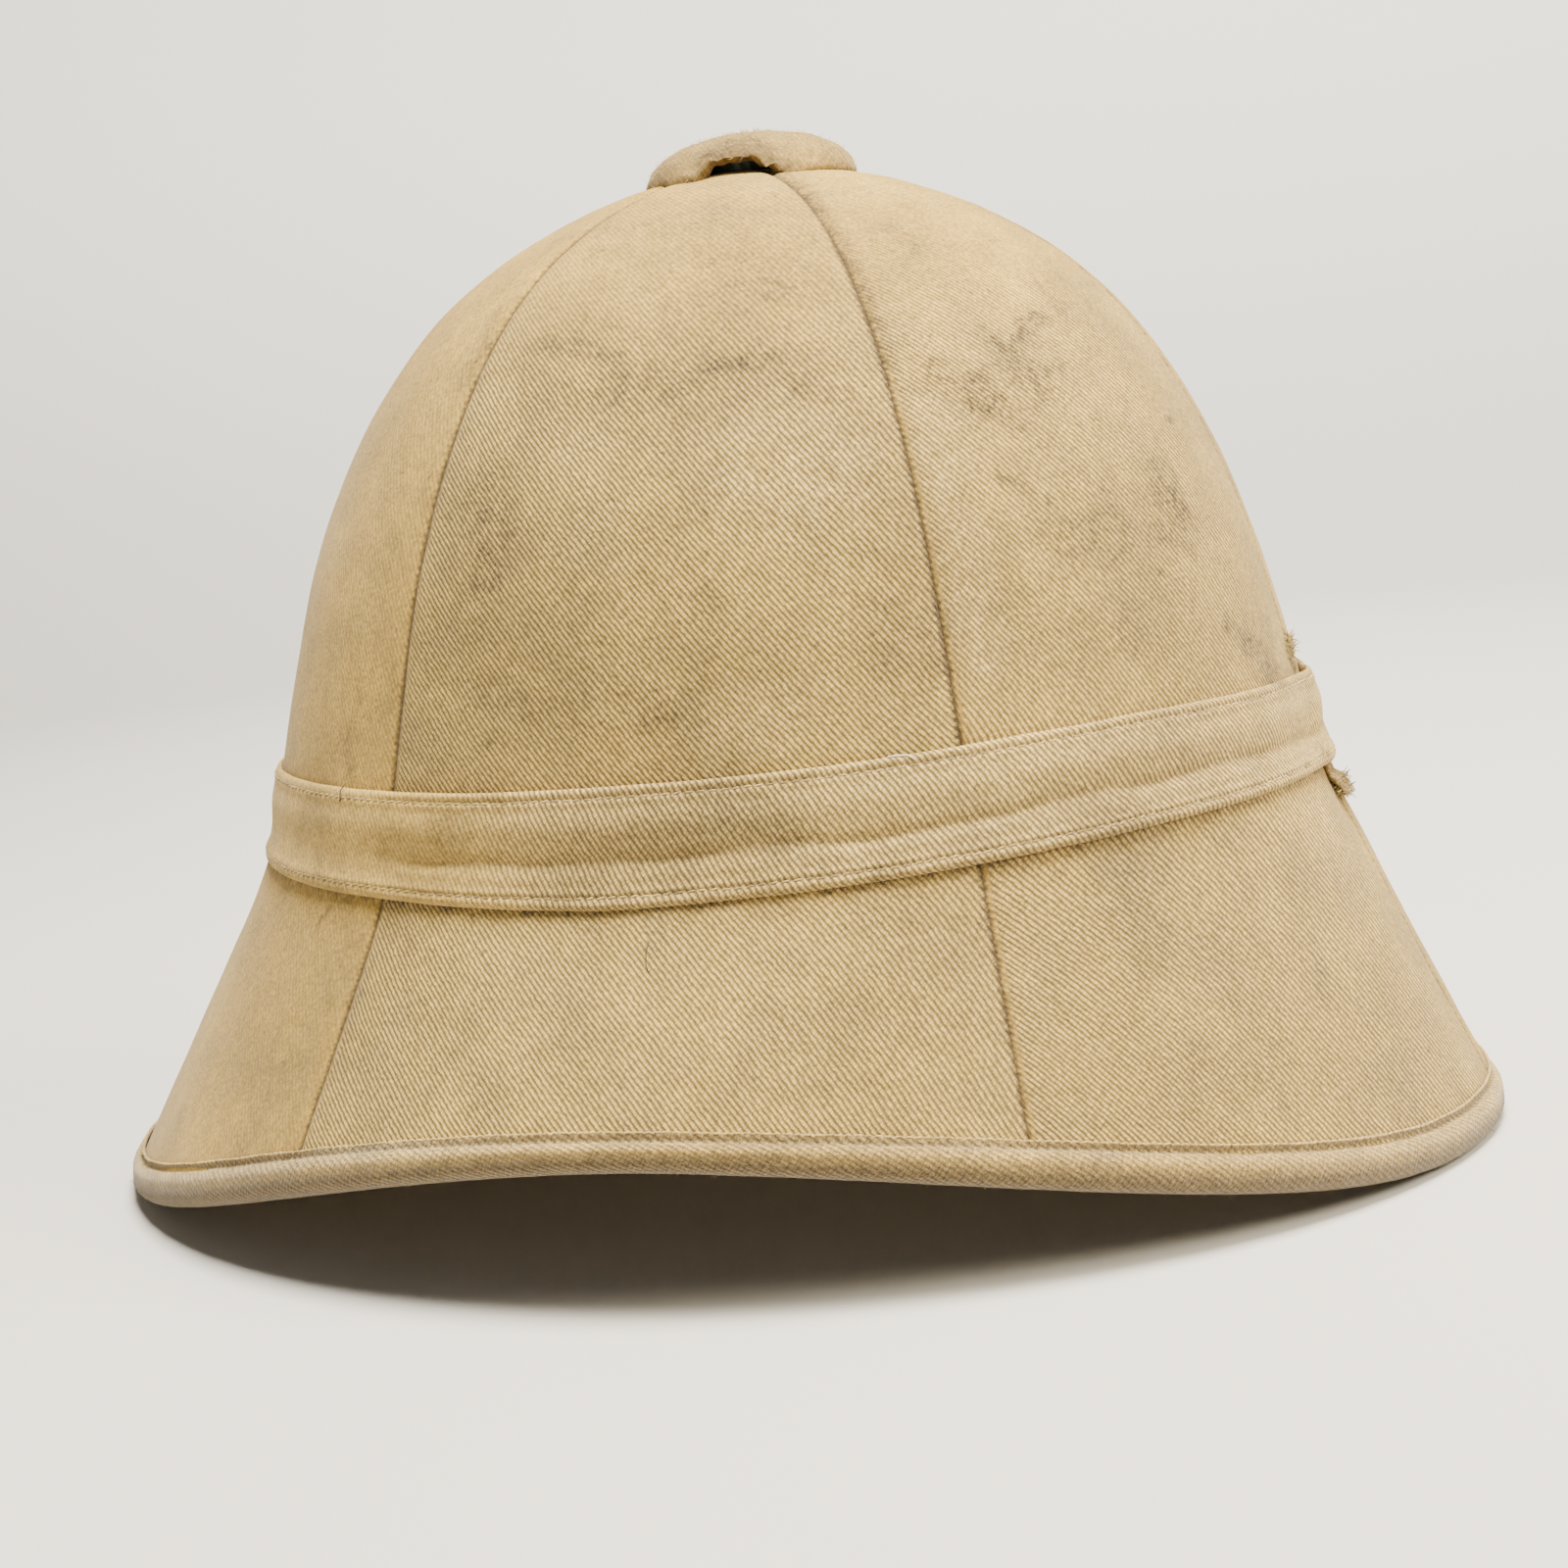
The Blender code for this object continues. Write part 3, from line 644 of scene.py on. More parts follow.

# %% [markdown]
# The stains are local, so they are painted onto the cloth as vertex colours instead of
# being noise: red holds brown stains, and later cells also paint shade into it; green
# holds grey soil, blue rubbed pale cloth. A stain is a soft stroke from one point to
# another. Each row of the table has the two points and the stroke's half width in
# millimetres, and then its strength.

# %% Paint the stains
STROKES = {
    "brown": (
        (-19.1, -62.9, 187.4, -8, -66.6, 185.8, 2, 0.22), (-8, -66.6, 185.8, 3.8, -71.3, 180.6, 2, 0.2),
        (0.2, -75, 174.5, 14.9, -74.9, 175, 4.2, 0.2), (14.9, -74.9, 175, 21.6, -72, 179.2, 1.9, 0.3),
        (21.6, -72, 179.2, 34.4, -70.4, 178.2, 1.9, 0.36),
        (34.4, -70.4, 178.2, 39.6, -72.5, 172.5, 1.7, 0.3),
        (39.6, -72.5, 172.5, 48.1, -71.1, 170.3, 1.6, 0.22), (22.6, -59.4, 195.6, 30, -58.8, 195, 6, 0.14),
        (-19.1, -66, 182, -17, -70, 176, 4.5, 0.14), (-28.7, -49.9, 196.7, -36.1, -61.4, 179.9, 2.8, 0.22),
        (-26.4, -77.8, 158.2, -25.8, -84.2, 141.5, 4.5, 0.22), (56, -84, 126, 60.2, -84.7, 119, 7, 0.18),
        (21.5, -90.3, 133.4, 20, -94.3, 116.6, 2.8, 0.15),
        (-26.1, -90.4, 118.2, -17, -92.9, 114.5, 3.4, 0.22),
        (4.7, -94.8, 115.7, 19.7, -95.3, 111.3, 3, 0.24), (8.6, -96.2, 109.4, 17, -96.2, 109.2, 2, 0.22),
        (-27.2, -92.1, 108.3, -26.8, -92.1, 108.3, 1.2, 0.8),
        (20.3, -85.1, 150.9, 20.6, -85.1, 150.9, 1.3, 0.55),
        (12.5, -66.4, 188.4, 12.6, -66.4, 188.4, 1.1, 0.55), (36.9, -64.9, 185.4, 37, -64.9, 185.4, 1, 0.5),
        (75, -48.5, 180, 78, -48.7, 177, 1.4, 0.3), (78, -48.7, 177, 80.3, -43.1, 180.1, 1.6, 0.34),
        (80.3, -43.1, 180.1, 82.9, -37.1, 182.5, 1.8, 0.44),
        (82.9, -37.1, 182.5, 85.7, -31.9, 183.1, 1.8, 0.24),
        (77.5, -54.1, 170.5, 83.4, -46.8, 172.8, 5.8, 0.22),
        (78, -48.7, 177, 81.9, -52.5, 167.1, 4.5, 0.16), (82.7, -51.1, 168, 82.7, -51.1, 168, 1.2, 0.52),
        (94.2, -44.8, 159.3, 94.2, -44.8, 159.3, 0.9, 0.62),
        (85.2, -62.2, 145.4, 85.2, -62.2, 145.4, 0.9, 0.66),
        (105.7, -47.4, 128.1, 105.7, -47.4, 128.1, 1.1, 0.66),
        (105.3, -25.1, 158.4, 105.3, -25.1, 158.4, 1.4, 0.56),
        (108.5, -24.5, 151.7, 108.5, -24.5, 151.7, 1, 0.5),
        (55.9, -37.9, 202.8, 55.9, -37.9, 202.8, 0.8, 0.5), (56.7, -40.2, 201, 56.7, -40.2, 201, 0.8, 0.46),
        (103.3, -32, 156.7, 104, -32.9, 154.2, 1.3, 0.46), (104.5, -36.4, 149, 107.6, -36.2, 142.3, 3, 0.3),
        (107.6, -36.2, 142.3, 109.5, -36.9, 135.1, 3.4, 0.24),
        (105.1, -41.3, 140.8, 106, -42, 136, 3.4, 0.18), (89.1, -61.7, 138.4, 95, -56.4, 137.6, 6, 0.24),
        (77, -65.5, 151.3, 81.4, -63.9, 148, 2, 0.24), (67, -61.8, 170.6, 73.3, -60.2, 166.1, 4.2, 0.24),
        (73.3, -60.2, 166.1, 79.5, -58, 162.5, 3.8, 0.22), (84.1, -25.8, 189.1, 91.4, -32.7, 176, 6, 0.15),
        (83.5, -72, 121.2, 99.1, -58.2, 122.6, 10, 0.12), (90, -50, 156, 100, -44, 148, 11, 0.1),
        (17.8, -51.6, 203.7, 24, -51, 203, 5, 0.15), (-0.3, -44.4, 209.2, 4, -45, 209, 4.5, 0.12),
        (52.9, -41, 202.2, 56, -42, 200, 4.6, 0.2), (34.7, -58.7, 193.6, 40, -58, 193, 4.5, 0.12),
        (-8.1, -40.7, 210.2, -10.7, -47.8, 204.7, 3, 0.22), (116.4, -34, 115, 119.1, -30, 110.3, 2, 0.34),
        (119.1, -30, 110.3, 123.1, -21.3, 103.6, 3.4, 0.28), (120.5, -27, 106, 123.5, -19, 103, 4, 0.18),
        (-10, -64, 189, 24, -68, 185, 6.5, 0.12), (5, -76, 172, 36, -74, 174, 7.5, 0.12),
        (-28, -80, 150, -30, -86, 133, 10, 0.12), (0, -45, 212, 26, -43, 214, 7, 0.1),
        (110.1, -81, 39.1, 111, -81, 38.5, 3.4, 0.16), (-41, -106, 57.4, -41.1, -106, 57.4, 1.2, 0.3),
        (-19.1, -113.7, 54.6, -19.2, -113.7, 54.6, 1.2, 0.26),
        (-69.8, -82.1, 74.8, -75.5, -81.4, 69.6, 1, 0.48), (-64.6, -79, 116, -64.6, -76.1, 105, 3, 0.22),
    ),
    "grey": (
        (112.9, -69, 56.3, 114.5, -71.7, 47.9, 4, 0.16), (130, -51.4, 46.6, 132, -52, 41.2, 3.5, 0.17),
        (124.9, -52.9, 56.3, 125.2, -52.9, 56, 2.8, 0.13), (10.3, -104.4, 72, 9.6, -108.6, 66.1, 2, 0.22),
        (69.5, -89.6, 91, 73.3, -88.7, 83.6, 3.5, 0.16), (93.3, -105.2, 23.5, 96, -104.5, 23.5, 1.6, 0.55),
        (-36.7, -125.8, 30.1, -36.2, -125.8, 30, 1, 0.85),
    ),
    "pale": (
        (33, -80, 160, 42, -80, 156, 12, 0.3), (-6, -80, 164, -3, -85, 148, 8, 0.14),
        (65.4, -66, 165, 72.9, -79.1, 118.9, 4.8, 0.28), (24, -95.1, 108.4, 33, -95.1, 108.4, 6, 0.22),
    ),
}


SOIL_STRENGTH = {"brown": 1.7, "grey": 1.2, "pale": 1.5}
DARKEST = 0.92
MM = 0.001
CORE = 0.35
FADE = 1.35
noise.seed_set(7)  # without a seed noise_vector changes from run to run


def paint_soil(piece, strokes=STROKES):
    """Writes the colour attribute soil from every stroke that comes near the piece.
    Noise pushes each place about first, which makes the strokes ragged."""
    mesh = piece.data
    count = len(mesh.vertices)
    place = np.empty(count * 3)
    mesh.vertices.foreach_get("co", place)
    place = place.reshape(-1, 3)
    shake = np.empty_like(place)
    for number, vertex in enumerate(mesh.vertices):
        slow = noise.noise_vector(vertex.co * 130) * 0.0026
        shake[number] = slow + noise.noise_vector(vertex.co * 480) * 0.0014
    place = place + shake
    soil = np.zeros((count, 4))
    soil[:, 3] = 1.0
    for channel, kind in enumerate(SOIL_STRENGTH):
        for row in strokes.get(kind, ()):
            start, end = np.array(row[:3]) * MM, np.array(row[3:6]) * MM
            run = end - start
            share = np.clip((place - start) @ run / max(run @ run, 1e-9), 0, 1)
            away = np.linalg.norm(place - start - share[:, None] * run, axis=1)
            reach = row[6] * MM * (1.0 if run @ run < 1e-6 else FADE)
            strength = np.clip(1 - (away / reach - CORE) / (FADE - CORE), 0, 1)
            strength = strength * strength * (3 - 2 * strength)
            added = strength * min(row[7] * SOIL_STRENGTH[kind], DARKEST)
            soil[:, channel] = 1 - (1 - soil[:, channel]) * (1 - added)
    layer = mesh.color_attributes.new("soil", "FLOAT_COLOR", "POINT")
    layer.data.foreach_set("color", soil.ravel())
    return float(soil[:, :2].max())


for gore in gores:
    print(gore.name, "darkest stain", round(paint_soil(gore), 2))

# %% [markdown]
# Wear decides how clearly the ribs show. Handling and washing have felted the cloth on
# the top of the crown and on some gores, while others still show every rib. A second
# painted attribute, nap, holds how clear the ribs are, from 0 to 1.

# %% Paint the wear of the weave
CLEAR_CROWN = {1: 0.65, 2: 0.70, 3: 0.65, 4: 0.22, 5: 0.95, 6: 0.90}
CLEAR_BRIM = {1: 0.90, 2: 0.85, 3: 0.70, 4: 0.16, 5: 0.95, 6: 1.0}


def paint_nap(piece, crown, brim):
    mesh = piece.data
    height = np.array([v.co.z for v in mesh.vertices])
    on_crown = np.clip((height - FOOT_Z) / 0.012, 0, 1)
    top = np.clip((height - 0.172) / 0.035, 0, 1)
    nap = brim + (crown - brim) * on_crown
    nap *= 1 - 0.72 * top * top * (3 - 2 * top)
    layer = mesh.attributes.new("nap", "FLOAT", "POINT")
    layer.data.foreach_set("value", nap)


for number, gore in enumerate(gores, 1):
    paint_nap(gore, CLEAR_CROWN[number], CLEAR_BRIM[number])

# %% [markdown]
# The band and the binding run all the way round, so their layout has one direction along
# the helmet and one round their own section. The vertices are sorted into sections by
# their bearing from the middle, and each section is walked as a ring.

# %% Lay a ring-shaped piece out flat


def matched(ring, last, place):
    """The ring turned, and reversed if need be, so that it lines up with the last one."""
    middle = sum((place[v] for v in ring), Vector()) / len(ring)
    shift = middle - sum((place[v] for v in last), Vector()) / len(last)
    ways = []
    for order in (ring, ring[::-1]):
        for turn in range(len(ring)):
            ways.append(order[turn:] + order[:turn])
    return min(ways, key=lambda way: sum((place[a] - place[b] - shift).length for a, b in zip(way, last)))


def sections_of(piece, sections):
    """Vertex rings of a ring-shaped piece. Each starts at its upper inner corner and
    goes out and down."""
    mesh = piece.data
    place = [v.co.copy() for v in mesh.vertices]
    reach = [math.hypot(p.x - AXIS_X, p.y) for p in place]
    order = sorted(range(len(place)), key=lambda v: polar(place[v]))
    size = len(order) // sections

    def open_after(index):
        here, there = polar(place[order[index]]), polar(place[order[(index + 1) % len(order)]])
        return (there - here) % (2 * math.pi)

    shift = max(range(size), key=lambda s: sum(open_after(s + k * size) for k in range(sections)))
    order = order[shift + 1:] + order[: shift + 1]
    groups = [order[k * size:(k + 1) * size] for k in range(sections)]
    beside = {}
    for edge in mesh.edges:
        a, b = edge.vertices
        beside.setdefault(a, []).append(b)
        beside.setdefault(b, []).append(a)
    rings = []
    for group in groups:
        members = set(group)
        first = max(group, key=lambda v: place[v].z - 0.5 * reach[v])
        steps = [v for v in beside[first] if v in members]
        follow = max(steps, key=lambda v: reach[v] + 0.5 * place[v].z)
        ring = [first, follow]
        while len(ring) < size:
            ring.append([v for v in beside[ring[-1]] if v in members and v != ring[-2]][0])
        if rings:
            ring = matched(ring, rings[-1], place)
        rings.append(ring)
    where = {v: (i, j) for i, ring in enumerate(rings) for j, v in enumerate(ring)}
    drop_diagonals(piece, where)
    return rings


def lay_ring_out(piece, rings):
    """Gives the map cloth: along the helmet, then down the section, in metres."""
    mesh = piece.data
    place = np.array([v.co for v in mesh.vertices])
    count, size = len(rings), len(rings[0])
    line = place[[ring[1] for ring in rings]]
    steps = np.linalg.norm(np.roll(line, -1, axis=0) - line, axis=1)
    along = np.concatenate([[0.0], np.cumsum(steps)])
    grid = place[np.array(rings)]
    down_steps = np.linalg.norm(np.roll(grid, -1, axis=1) - grid, axis=2).mean(axis=0)
    down = np.concatenate([[0.0], np.cumsum(down_steps)])
    where = {v: (i, j) for i, ring in enumerate(rings) for j, v in enumerate(ring)}
    layer = mesh.uv_layers.new(name="cloth")
    for face in mesh.polygons:
        spots = [where[mesh.loops[i].vertex_index] for i in face.loop_indices]
        wraps = max(s[0] for s in spots) - min(s[0] for s in spots) > count / 2
        folds = max(s[1] for s in spots) - min(s[1] for s in spots) > size / 2
        for i, (column, row) in zip(face.loop_indices, spots):
            column = count if wraps and column == 0 else column
            row = size if folds and row == 0 else row
            layer.data[i].uv = (along[column], -down[row])
    return along[-1], down


# %% [markdown]
# The band is a strip folded in along both edges, stitched close to each fold, and pulled
# round the crown so that it puffs between the stitching. Its copy is refined, and each
# vertex is then pushed in or out by a height worked out from the layout: grooves under
# the stitches, a crease, and slow puckers that change along its length. Before that the
# band is slid along the crown, because a worn band has slipped lower in places.

# %% Model the band
BAND_SECTIONS = 52
BAND_FACE = 0.0222
BAND_STITCH_ROWS = (0.0021, 0.0199)
BAND_CREASE = 0.0136
BAND_SLIDES = (
    (-180, 0.0, 0.0), (-128, 0.0, 0.0006), (-113, 0.0, 0.0015), (-97, -0.0003, 0.0024),
    (-67, -0.0006, 0.0014), (-50, -0.0010, 0.0008), (-35, -0.0008, 0.0006),
    (-15, 0.0010, 0.0014), (0, 0.0017, 0.0019), (30, 0.0, 0.0), (180, 0.0, 0.0),
)


def vertex_layout(piece):
    """Each vertex's place in the map cloth."""
    mesh = piece.data
    corner = np.empty(len(mesh.loops), dtype=int)
    mesh.loops.foreach_get("vertex_index", corner)
    flat = np.empty(len(mesh.loops) * 2)
    mesh.uv_layers["cloth"].data.foreach_get("uv", flat)
    result = np.zeros((len(mesh.vertices), 2))
    result[corner] = flat.reshape(-1, 2)
    return result


def push(piece, height):
    """Moves each vertex along its normal by a height in metres."""
    mesh = piece.data
    place = np.empty(len(mesh.vertices) * 3)
    mesh.vertices.foreach_get("co", place)
    normal = np.empty(len(mesh.vertices) * 3)
    mesh.vertex_normals.foreach_get("vector", normal)
    moved = place.reshape(-1, 3) + normal.reshape(-1, 3) * height[:, None]
    mesh.vertices.foreach_set("co", moved.ravel())
    mesh.update()


def bell(value, middle, width):
    return np.exp(-(((value - middle) / width) ** 2))


def waves(value, around, seed, lengths):
    """A sum of sines along a closed length, each with its own phase and weight."""
    rng = random.Random(seed)
    total = np.zeros_like(value)
    for length in lengths:
        turns = max(1, round(around / length))
        total += np.sin(2 * math.pi * turns * value / around + rng.uniform(0, 2 * math.pi))
    return total / len(lengths)


def surface_of(piece):
    mesh = piece.data
    return BVHTree.FromPolygons([v.co for v in mesh.vertices], [tuple(f.vertices) for f in mesh.polygons])


pith_surface = surface_of(bpy.data.objects["pith_shell"])


def slide_band(points, share):
    """Lowers points of the band, its top edge (share 0) and its foot (share 1) each by
    what BAND_SLIDES gives for the bearing, and keeps each as far from the pith."""
    bearings = np.degrees(np.arctan2(points[:, 1], points[:, 0] - AXIS_X))
    angles, top, foot = np.array(BAND_SLIDES).T
    fall = np.interp(bearings, angles, top) * (1 - share) + np.interp(bearings, angles, foot) * share
    moved = []
    for point, drop in zip(points, fall):
        spot = Vector(point)
        near, out, _, _ = pith_surface.find_nearest(spot)
        clearance = (spot - near).dot(out)
        spot.z -= drop
        near, out, _, _ = pith_surface.find_nearest(spot)
        outward = Vector((spot.x - AXIS_X, spot.y, 0)).normalized()
        moved.append(spot + outward * (clearance - (spot - near).dot(out)))
    return np.array(moved)


band = copy_of("hat_band", "band")
band_rings = sections_of(band, BAND_SECTIONS)
band_around, band_down = lay_ring_out(band, band_rings)
band_cage = np.array([v.co for v in band.data.vertices])[np.array(band_rings)]
refine(band, 3)
flat = vertex_layout(band)
run, drop = flat[:, 0], -flat[:, 1] - band_down[1]
share = np.clip(np.minimum(drop / BAND_FACE, 1 - (drop - BAND_FACE - 0.0028) / BAND_FACE), 0, 1)
slid = slide_band(np.array([v.co for v in band.data.vertices]), share)
band.data.vertices.foreach_set("co", slid.ravel())
band.data.update()
outside = 1 / (1 + np.exp(-(drop - 0.0003) / 0.0002)) / (1 + np.exp((drop - BAND_FACE) / 0.0002))
bearing = np.degrees(np.array([polar(v.co) for v in band.data.vertices]))
creased = 0.15 + 0.85 / (1 + np.exp(-(bearing + 122) / 3.0)) + 0.6 * (bearing > 90)
wavering = waves(run, band_around, 3, (0.095, 0.052, 0.031))
calm = 0.25 + 0.75 / (1 + np.exp(-(bearing + 126) / 3.0)) + 0.75 * (bearing < -170)
calm *= 1 - 0.6 * bell(bearing, 0, 18)
relief = -0.00034 * bell(drop, BAND_STITCH_ROWS[0], 0.00050)
relief -= 0.00030 * bell(drop, BAND_STITCH_ROWS[1], 0.00045)
crease_at = BAND_CREASE + 0.0009 * wavering
relief -= 0.00080 * bell(drop, crease_at, 0.0011) * (0.75 + 0.45 * wavering) * creased
fullness = 0.80 + 0.35 * waves(run, band_around, 5, (0.09, 0.055))
relief += 0.00065 * bell(drop, 0.0066, 0.0036) * fullness
relief += 0.00035 * bell(drop, 0.0166, 0.0015) * creased
relief += 0.00022 * bell(drop, 0.0007, 0.0006) + 0.00025 * bell(drop, 0.0213, 0.0007)
relief += 0.00016 * waves(run + 0.6 * drop, band_around, 7, (0.021, 0.014, 0.0095))
relief *= calm
push(band, relief * outside)
apply_modifier(band, "DISPLACE", texture=ripples, texture_coords="LOCAL", strength=0.00025)
bpy.ops.object.shade_smooth()
paint_soil(band)
# Painted shade: the grooves under both rows of stitching and the crease are painted darker brown.
band_stains_and_shade = np.empty(len(band.data.vertices) * 4)
band.data.color_attributes["soil"].data.foreach_get("color", band_stains_and_shade)
band_stains_and_shade = band_stains_and_shade.reshape(-1, 4)
for row in BAND_STITCH_ROWS:
    band_stains_and_shade[:, 0] = np.maximum(band_stains_and_shade[:, 0], 0.50 * bell(drop, row, 0.00040))
band_stains_and_shade[:, 0] = np.maximum(band_stains_and_shade[:, 0], 0.24 * creased * bell(drop, crease_at, 0.0010))
band.data.color_attributes["soil"].data.foreach_set("color", band_stains_and_shade.ravel())
paint_nap(band, 1.0, 1.0)
clear = np.clip((bearing + 125) / 22, 0.25, 1.0) * np.clip((60 - bearing) / 90 + 0.5, 0.5, 1.0)
band.data.attributes["nap"].data.foreach_set("value", clear)
print("band faces", len(band.data.polygons), "around", round(band_around, 4))
print("band section in mm:", [round(float(d) * 1000, 1) for d in band_down])

# %% [markdown]
# Painted shadow: the band's lower edge shades the cloth just under it, so each vertex of a
# gore near the band's lower fold gets darker paint.

# %% Paint the shadow under the band


def line_at(cage, down, distance):
    """The closed line at a distance down the section of a ring-shaped piece."""
    place = np.searchsorted(down, distance) - 1
    share = (distance - down[place]) / (down[place + 1] - down[place])
    return cage[:, place] * (1 - share) + cage[:, (place + 1) % cage.shape[1]] * share


def closed_line(points, spacing):
    """Evenly spaced points along a closed line, about this far apart."""
    ring = np.vstack([points, points[:1]])
    steps = np.linalg.norm(np.diff(ring, axis=0), axis=1)
    reach = np.concatenate([[0.0], np.cumsum(steps)])
    count = round(reach[-1] / spacing)
    where = np.arange(count) * reach[-1] / count
    return np.stack([np.interp(where, reach, ring[:, i]) for i in range(3)], axis=1)


def line_on_band(drop, spacing):
    line = closed_line(line_at(band_cage, band_down, band_down[1] + drop), spacing)
    return slide_band(line, min(drop / BAND_FACE, 1.0))


fold = line_on_band(BAND_FACE + 0.0006, 0.0010)


def paint_along(piece, line, reach, strength):
    layer = piece.data.color_attributes["soil"]
    count = len(piece.data.vertices)
    soil = np.empty(count * 4)
    layer.data.foreach_get("color", soil)
    soil = soil.reshape(-1, 4)
    place = np.array([v.co for v in piece.data.vertices])
    near = np.where(np.abs(place[:, 2] - line[:, 2].mean()) < 0.03)[0]
    for start in range(0, len(near), 2000):
        part = near[start:start + 2000]
        away = np.linalg.norm(place[part, None] - line[None], axis=2).min(axis=1)
        added = strength * np.exp(-((away / reach) ** 2))
        soil[part, 0] = 1 - (1 - soil[part, 0]) * (1 - added)
    layer.data.foreach_set("color", soil.ravel())


# Painted shadow: the cloth just under the band's lower edge is painted dark.
for gore in gores:
    paint_along(gore, fold, 0.0012, 0.96)
print("fold line has", len(fold), "points")

# %% [markdown]
# The band is cut from the same drill, laid so that its ribs lean a little less. It has
# no seams of its own, so its material is the same recipe without them.

# %% Finish the band
BAND_PALE, BAND_WARM = (0.610, 0.432, 0.152, 1), (0.470, 0.330, 0.116, 1)
band_cloth = cloth_material("band_drill", BAND_PALE, BAND_WARM, slant=math.radians(57), pitch=0.00107)
band.data.materials.append(band_cloth)

# %% [markdown]
# A stitch is one short lump of thread that dips into the cloth at both ends. One is
# modelled from a cylinder whose ends are drawn in, and hundreds of copies of its mesh
# are set along a line on the cloth, each turned to the line and to the cloth's face.

# %% Model one stitch and set copies along a line
THREAD = 0.00018
UNEVEN = 0.00002


def model_stitch(length, radius):
    bpy.ops.object.select_all(action="DESELECT")
    lying = (0, math.pi / 2, 0)
    bpy.ops.mesh.primitive_cylinder_add(vertices=6, radius=radius, depth=length, rotation=lying)
    stitch = bpy.context.object
    bpy.ops.object.transform_apply(location=False, rotation=True, scale=False)
    bpy.ops.object.mode_set(mode="EDIT")
    bpy.ops.mesh.select_all(action="SELECT")
    bpy.ops.mesh.bisect(plane_co=(length * 0.25, 0, 0), plane_no=(1, 0, 0))
    bpy.ops.mesh.select_all(action="SELECT")
    bpy.ops.mesh.bisect(plane_co=(-length * 0.25, 0, 0), plane_no=(1, 0, 0))
    for side in (-1, 1):
        pick(stitch, "VERT", lambda v: v.co.x * side > length * 0.45)
        bpy.ops.transform.resize(value=(1, 0.45, 0.45))
        bpy.ops.transform.translate(value=(0, 0, -radius * 1.3))
    done(stitch)
    shape = [tuple(v.co) for v in stitch.data.vertices], [tuple(f.vertices) for f in stitch.data.polygons]
    bpy.data.objects.remove(stitch)
    return shape


def made_of(name, points, faces):
    """One smooth piece of many copies, its faces turned outwards."""
    mesh = bpy.data.meshes.new(name)
    mesh.from_pydata(points, [], faces)
    piece = bpy.data.objects.new(name, mesh)
    bpy.context.scene.collection.objects.link(piece)
    only(piece)
    bpy.ops.object.mode_set(mode="EDIT")
    bpy.ops.mesh.select_all(action="SELECT")
    bpy.ops.mesh.normals_make_consistent(inside=False)
    bpy.ops.object.mode_set(mode="OBJECT")
    bpy.ops.object.shade_smooth()
    return piece


def set_stitches(name, surface, line, shape, lean=0.0, rise=0.0, seed=1):
    """Sets a copy of the stitch at each point of the line, on the surface."""
    rng = random.Random(seed)
    points, faces = [], []
    for number, point in enumerate(line):
        ahead = Vector(line[(number + 1) % len(line)] - line[number - 1])
        place, out, _, _ = surface.find_nearest(Vector(point))
        rng.random()  # unused, but it keeps every later draw as it was
        tangent = (ahead - out * ahead.dot(out)).normalized()
        side = out.cross(tangent)
        turn = lean + rng.uniform(-0.10, 0.10)
        tangent, side = (
            tangent * math.cos(turn) + side * math.sin(turn),
            side * math.cos(turn) - tangent * math.sin(turn),
        )
        size = rng.uniform(0.88, 1.10)
        base = len(points)
        for x, y, z in shape[0]:
            y += rng.uniform(-1, 1) * UNEVEN
            points.append(place + tangent * (x * size) + side * y + out * (z + rise))
        faces += [tuple(base + v for v in face) for face in shape[1]]
    return made_of(name, points, faces)


stitch = model_stitch(0.0020, THREAD)
band_surface = surface_of(band)
band_stitches = []
for number, distance in enumerate(BAND_STITCH_ROWS):
    line = line_on_band(distance, 0.00236)
    name = f"band_stitches_{number + 1}"
    row = set_stitches(name, band_surface, line, stitch, lean=0.16, rise=0.00008, seed=number)
    band_stitches.append(row)
    print(row.name, "stitches", len(line), "faces", len(row.data.polygons))

# %% [markdown]
# Sewing thread catches more light than drill, and it is twisted. Fine noise on object
# coordinates gives the twist, and slow noise lets dirt dull it in places.

# %% Thread finish
def thread_material(name, pale, dark):
    material, tree, shader = start_material(name)
    place = add_node(tree, "TexCoord").outputs["Object"]
    patches = ramp(tree, grain(tree, place, 120.0, 3.0, 0.6), 0.35, 0.65)
    colour = blend(tree, patches, pale, dark)
    twist = grain(tree, place, 3200.0, 1.0)
    colour = blend(tree, calc(tree, "MULTIPLY", twist, 0.5), colour, dark)
    tree.links.new(colour, shader.inputs["Base Color"])
    bump = add_node(tree, "Bump", {"Strength": 0.6, "Distance": 0.0001, "Height": twist})
    tree.links.new(bump.outputs[0], shader.inputs["Normal"])
    shader.inputs["Roughness"].default_value = 0.85
    shader.inputs["Specular IOR Level"].default_value = 0.25
    shader.inputs["Sheen Weight"].default_value = 0.05
    return material


pale_thread = thread_material("pale_thread", (0.60, 0.44, 0.18, 1), (0.20, 0.145, 0.07, 1))
for row in band_stitches:
    row.data.materials.append(pale_thread)

# %% [markdown]
# The brim is bound with a coarse cotton tape folded over its edge. Its upper leg has a
# narrow flat hem, a stitched groove, and then a fat roll that turns under the brim. The
# refined copy of its solid gets those heights pressed into its outer leg.

# %% Model the binding
BINDING_SECTIONS = 48
BINDING_GROOVE = 0.0024

binding = copy_of("brim_binding", "binding")
binding_rings = sections_of(binding, BINDING_SECTIONS)
HEM = 0.0021
LEG = 0.0108


